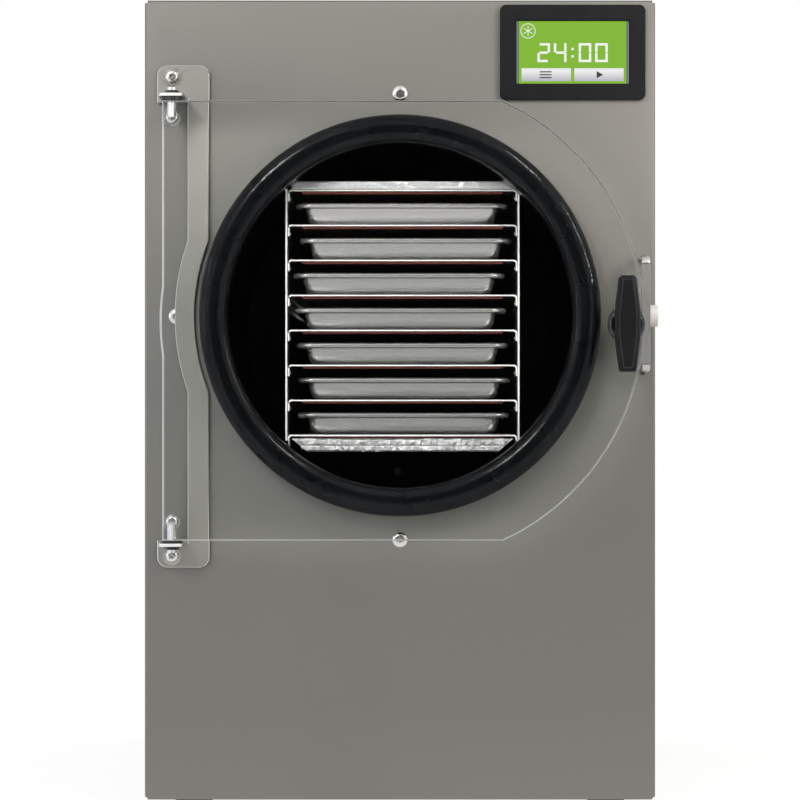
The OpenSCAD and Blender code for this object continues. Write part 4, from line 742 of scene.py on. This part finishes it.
def display():
    """The glass and its picture: a green page with a round sign, two keys and a row of numbers."""
    low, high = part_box("touchscreen")
    middle = (low + high) / 2
    shape = bmesh.new()
    plate(shape, rectangle(low.x, low.z, high.x, high.z), low.y, high.y)
    black = enamel("screen_black", (0.01, 0.01, 0.012), 0.12)
    piece_from("screen_glass", shape, black, "cabinet", ["touchscreen"])

    half_w, half_h = 54.3 * MM, 31.4 * MM
    x0, x1 = middle.x - half_w, middle.x + half_w
    z0, z1 = middle.z - half_h, middle.z + half_h
    green = lit("page_green", (0.235, 0.515, 0.036), 0.92)
    white = lit("page_white", (0.95, 0.96, 0.93), 0.95)
    picture_part("screen_page", [rectangle(x0, z0, x1, z1)], 1, green)
    # Painted light: two glowing strips beside the page stand for the lit inner walls of the bezel
    edges = [rectangle(x0 - 2.0 * MM, z0, x0 - 0.5 * MM, z1), rectangle(x1 + 0.6 * MM, z0, x1 + 2.6 * MM, z1)]
    picture_part("screen_bevel_light", edges, 1, lit("painted_bevel_light", (0.30, 0.31, 0.42), 0.7))

    key_low, key_high = z0 + 2.6 * MM, z0 + 15.6 * MM
    keys = [rectangle(x0 + 3 * MM, key_low, middle.x - 1.6 * MM, key_high),
            rectangle(middle.x + 1.6 * MM, key_low, x1 - 3 * MM, key_high)]
    key_grey = lit("page_key", (0.92, 0.92, 0.94), 0.9, (key_low, key_high, (0.55, 0.55, 0.6)))
    picture_part("screen_keys", keys, 2, key_grey)
    picture_part("screen_sign", frost_sign(Vector((x0 + 9.5 * MM, z1 - 9.7 * MM))), 2, white)
    number_left, number_base = middle.x - 35.36 * MM, middle.z - 9.6 * MM
    picture_part("screen_numbers", numbers("24:00", number_left, number_base), 2, white)

    # A play sign on the right key and three lines on the left one
    key_z = (key_low + key_high) / 2
    play_x, list_x = (middle.x + x1) / 2, (middle.x + x0) / 2
    play_left, play_right, play_half = play_x - 3 * MM, play_x + 3.6 * MM, 3.6 * MM
    signs = [[(play_left, key_z - play_half), (play_right, key_z), (play_left, key_z + play_half)]]
    for k in (-1, 0, 1):
        line_z = key_z + k * 2.9 * MM
        signs.append(rectangle(list_x - 6 * MM, line_z - 0.6 * MM, list_x + 6 * MM, line_z + 0.6 * MM))
    picture_part("screen_signs", signs, 3, lit("page_grey", (0.09, 0.09, 0.10), 0.5))


# ---------------------------------------------------------------- studio

def camera(low, high, distance):
    """A level camera, square on to the front panel, whose picture is as high as the panel."""
    data = bpy.data.cameras.new("camera")
    data.sensor_width = 36
    data.lens = data.sensor_width * distance / (high.z - low.z)
    made = bpy.data.objects.new("camera", data)
    made.location = (0, low.y - distance, (low.z + high.z) / 2)
    made.rotation_euler = (math.pi / 2, 0, 0)
    bpy.context.scene.collection.objects.link(made)
    bpy.context.scene.camera = made


def lamp(name, place, target, size, power, color):
    """A soft lamp at a place, turned to a target."""
    data = bpy.data.lights.new(name, "AREA")
    data.shape = "RECTANGLE"
    data.size, data.size_y = size
    data.energy = power
    data.color = color
    made = bpy.data.objects.new(name, data)
    made.location = place
    made.rotation_euler = (Vector(target) - Vector(place)).to_track_quat("-Z", "Y").to_euler()
    bpy.context.scene.collection.objects.link(made)
    made.visible_camera = False


def rays_that_show(tree):
    """1 for the rays that bring the background into the picture: straight, mirrored or through glass."""
    path = tree.nodes.new("ShaderNodeLightPath")
    shown = path.outputs["Is Camera Ray"]
    for kind in ("Is Glossy Ray", "Is Transmission Ray"):
        either = tree.nodes.new("ShaderNodeMath")
        either.operation = "MAXIMUM"
        tree.links.new(shown, either.inputs[0])
        tree.links.new(path.outputs[kind], either.inputs[1])
        shown = either.outputs[0]
    return shown


def sky():
    """A world that gives soft light and shows as white."""
    world = bpy.data.worlds.new("world")
    bpy.context.scene.world = world
    world.use_nodes = True
    tree = world.node_tree
    lighting = tree.nodes["Background"]
    white = tree.nodes.new("ShaderNodeBackground")
    for background, strength in ((lighting, 0.6), (white, 1.0)):
        background.inputs["Color"].default_value = (1, 1, 1, 1)
        background.inputs["Strength"].default_value = strength
    mix = tree.nodes.new("ShaderNodeMixShader")
    tree.links.new(rays_that_show(tree), mix.inputs[0])
    tree.links.new(lighting.outputs[0], mix.inputs[1])
    tree.links.new(white.outputs[0], mix.inputs[2])
    tree.links.new(mix.outputs[0], tree.nodes["World Output"].inputs["Surface"])


def studio():
    """Camera, soft lamps, a pale floor and a dark card behind the camera."""
    low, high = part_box("front_panel")
    camera(low, high, 2.4)

    # Each lamp has its place, its target, its size in metres, its power in watts and its colour
    centre = (0, low.y, 0.5)
    lamp("key", (-0.85, -2.35, 1.55), centre, (0.34, 0.34), 17.5, (1.0, 0.985, 0.96))
    lamp("right", (1.1, -1.9, 1.9), centre, (0.2, 0.45), 12, (1.0, 0.97, 0.9))
    lamp("low_left", (-1.9, -1.4, 0.75), centre, (0.25, 0.8), 5, (0.8, 0.88, 1.0))
    lamp("near_right", (0.56, low.y - 0.42, 0.74), (0.2, low.y, 0.66), (0.05, 0.3), 1.35, (1.0, 0.95, 0.84))
    sky()

    floor = sheet_of("floor", 30, 30, Matrix.Identity(4))
    floor.data.materials.append(floor_white())
    upright = Matrix.Rotation(-math.pi / 2, 4, "X")
    card = sheet_of("dark_card", 1.9, 2.1, Matrix.Translation((0, low.y - 3.0, 0.55)) @ upright)
    card.visible_camera = False
    card.data.materials.append(card_black())
    bpy.context.scene.view_settings.view_transform = "Standard"


def sheet_of(name, width, depth, place):
    """A flat sheet of the studio, which isn't a part of the object."""
    shape = bmesh.new()
    bmesh.ops.create_grid(shape, x_segments=1, y_segments=1, size=0.5)
    for vert in shape.verts:
        vert.co = place @ Vector((vert.co.x * width, vert.co.y * depth, 0))
    made = bpy.data.objects.new(name, mesh_from(name, shape))
    bpy.context.scene.collection.objects.link(made)
    return made


def floor_white():
    """Pale floor that shows white where nothing shades it."""
    made = Finish("floor_white", (0.86, 0.86, 0.86), 0.8, 0.0, Specular_IOR_Level=0.1)
    made.vary(made.grain(3, 2), 0.01)
    glow = made.node("Emission", {"Color": (1, 1, 1, 1), "Strength": 1.3}).outputs[0]
    glow_share = 0.6
    made.give_way(made.maths("MULTIPLY", rays_that_show(made.tree), glow_share), glow)
    return made.mat


def card_black():
    """Dull black for the steel to reflect. A look straight through the clear door passes it."""
    made = Finish("card_black", (0.012, 0.012, 0.012), 0.9, 0.0, Specular_IOR_Level=0.0)
    made.vary(made.grain(40, 3), 0.12)
    path = made.node("LightPath")
    straight = made.maths("LESS_THAN", path.outputs["Glossy Depth"], 0.5)
    clear = made.node("BsdfTransparent", {"Color": (1, 1, 1, 1)}).outputs[0]
    made.give_way(made.maths("MULTIPLY", straight, path.outputs["Is Transmission Ray"]), clear)
    return made.mat


# ---------------------------------------------------------------- the whole

def finishes():
    """A finish for each node of the CAD, and the pieces that stand in for some of them."""
    # Cabinet
    dress(panel_steel("panel_steel", 1.0), "front_panel", "casing", "base_pan")
    dress(brushed("rear_steel", (0.42, 0.42, 0.41), 0.42, "X"), "rear_panel", "chamber_cradle")
    bright = brushed("screw_steel", (0.62, 0.61, 0.585), 0.2, "X", metallic=1.0, contrast=0.04, depth=0.01)
    dress(bright, "rear_screws", "front_screws", bevel=0.25)
    dress(moulded("foot_rubber", (0.02, 0.02, 0.02), 0.6), "feet", bevel=0.6)

    # Chamber, rack and trays
    dress(painted_shade_steel(), "chamber", "chamber_flange", "chamber_back")
    round_gasket(rubber())
    dress(copper(), "evaporator_coil", "refrigerant_lines")
    dress(foam(), "insulation")
    # Front faces of the rack and the hinge ears: cut steel edges, partly painted highlight
    cut = cut_edge_with_painted_sheen()
    rack = ["rack_left", "rack_right"] + [name for name in nodes if name.startswith("shelf_")]
    satin = brushed("rack_steel", (0.5, 0.5, 0.49), 0.3, "Y", metallic=1.0)
    dress(satin, *rack, "rack_rivets", bevel=0.45, segments=1)
    front_faces(cut, *rack)
    # Painted light and shade: the pads' front faces get a lighter copy of the silicone, the rest a darker one
    dress(heater_silicone("heater_silicone", (0.05, 0.014, 0.01)), "heater_pads")
    front_faces(heater_silicone("heater_front_painted_light", (0.21, 0.042, 0.024)), "heater_pads")
    trays([name for name in nodes if name.startswith("tray_")], tray_steel())

    # Door, hinge and latch
    zinc = brushed("pin_zinc", (0.72, 0.73, 0.76), 0.3, "X", metallic=0.85, contrast=0.04, depth=0.01)
    dress(zinc, "hinge_pins", bevel=0.3)
    dark_nuts(moulded("nut_black", (0.012, 0.012, 0.013), 0.35))
    dress(clear_acrylic(), "door", bevel=0.5, segments=1, smooth=False)
    frost_edges(nodes["door"])
    # Painted highlight: the hinge plate's softened edges are near white, for light caught along them
    painted_edge_highlight = brushed("painted_edge_highlight", (0.85, 0.85, 0.85), 0.3, "X", metallic=0.9, contrast=0.03)
    dress(panel_steel("hinge_steel", 1.38), "hinge_plate", bevel=0.45, segments=1, smooth=False, clamp=False,
          rim=painted_edge_highlight)
    front_faces(cut, "hinge_plate", within=10 * MM)
    dress(moulded("washer_plastic", (0.012, 0.012, 0.012), 0.35), "hinge_washers", bevel=0.15)
    strike_bar(brushed("latch_steel", (0.46, 0.455, 0.44), 0.28, "Z", contrast=0.03))
    tongue = brushed("tongue_steel", (0.5, 0.5, 0.49), 0.3, "Z", metallic=1.0, contrast=0.03)
    dress(tongue, "latch_tongue", bevel=0.6)
    nylon = moulded("nylon", (0.70, 0.69, 0.66), 0.4, texture=0.1, scale=900, Subsurface_Weight=0.2)
    dress(nylon, "strike_stop", bevel=0.8)
    black = moulded("handle_plastic", (0.008, 0.008, 0.009), 0.3, texture=0.12, scale=2200,
                    Specular_IOR_Level=0.2)
    # Painted highlight: the lighter line round the handle's front
    line = moulded("handle_painted_sheen", (0.035, 0.035, 0.038), 0.24, texture=0.05, Specular_IOR_Level=0.4)
    wing_handle(black, line)
    glossy = moulded("collar_plastic", (0.006, 0.006, 0.009), 0.15, texture=0.03, Specular_IOR_Level=0.5)
    dress(glossy, "collar", bevel=0.8)

    # Display
    matt = moulded("bezel_plastic", (0.009, 0.0095, 0.0105), 0.34, texture=0.15, scale=2400,
                   Specular_IOR_Level=0.2)
    dress(matt, "bezel", bevel=0.9, segments=3)

    # What is inside the cabinet and on its rear
    dress(circuit_board(), "circuit_boards")
    dress(enamel("compressor_paint", (0.012, 0.012, 0.014)), "compressor", bevel=0.5)
    dress(brushed("fin_aluminium", (0.62, 0.62, 0.61), 0.35, "Z", metallic=0.9), "condenser")
    dress(moulded("fan_plastic", (0.018, 0.018, 0.019), 0.5), "fan_shroud")
    dress(enamel("motor_paint", (0.08, 0.08, 0.085), 0.4), "fan_motor", bevel=0.5)
    dress(moulded("blade_plastic", (0.6, 0.6, 0.57), 0.4), "fan_blade", bevel=0.3)
    dress(brushed("port_steel", (0.58, 0.575, 0.56), 0.25, "Y", metallic=1.0), "vacuum_port", bevel=0.5)
    dress(moulded("sensor_body", (0.02, 0.05, 0.2), 0.3, texture=0.1), "vacuum_sensor", bevel=0.5)
    dress(brass(), "drain_valve", bevel=0.5)
    dress(moulded("lever_grip", (0.5, 0.02, 0.015), 0.35, texture=0.1), "drain_lever", bevel=0.8)
    dress(silicone_hose(), "drain_tube")
    dress(moulded("inlet_plastic", (0.015, 0.015, 0.016), 0.45), "power_inlet", bevel=0.3)
    dress(moulded("rocker_plastic", (0.25, 0.008, 0.008), 0.3, texture=0.05), "power_rocker", bevel=0.3)


studio()
finishes()
foils()
display()
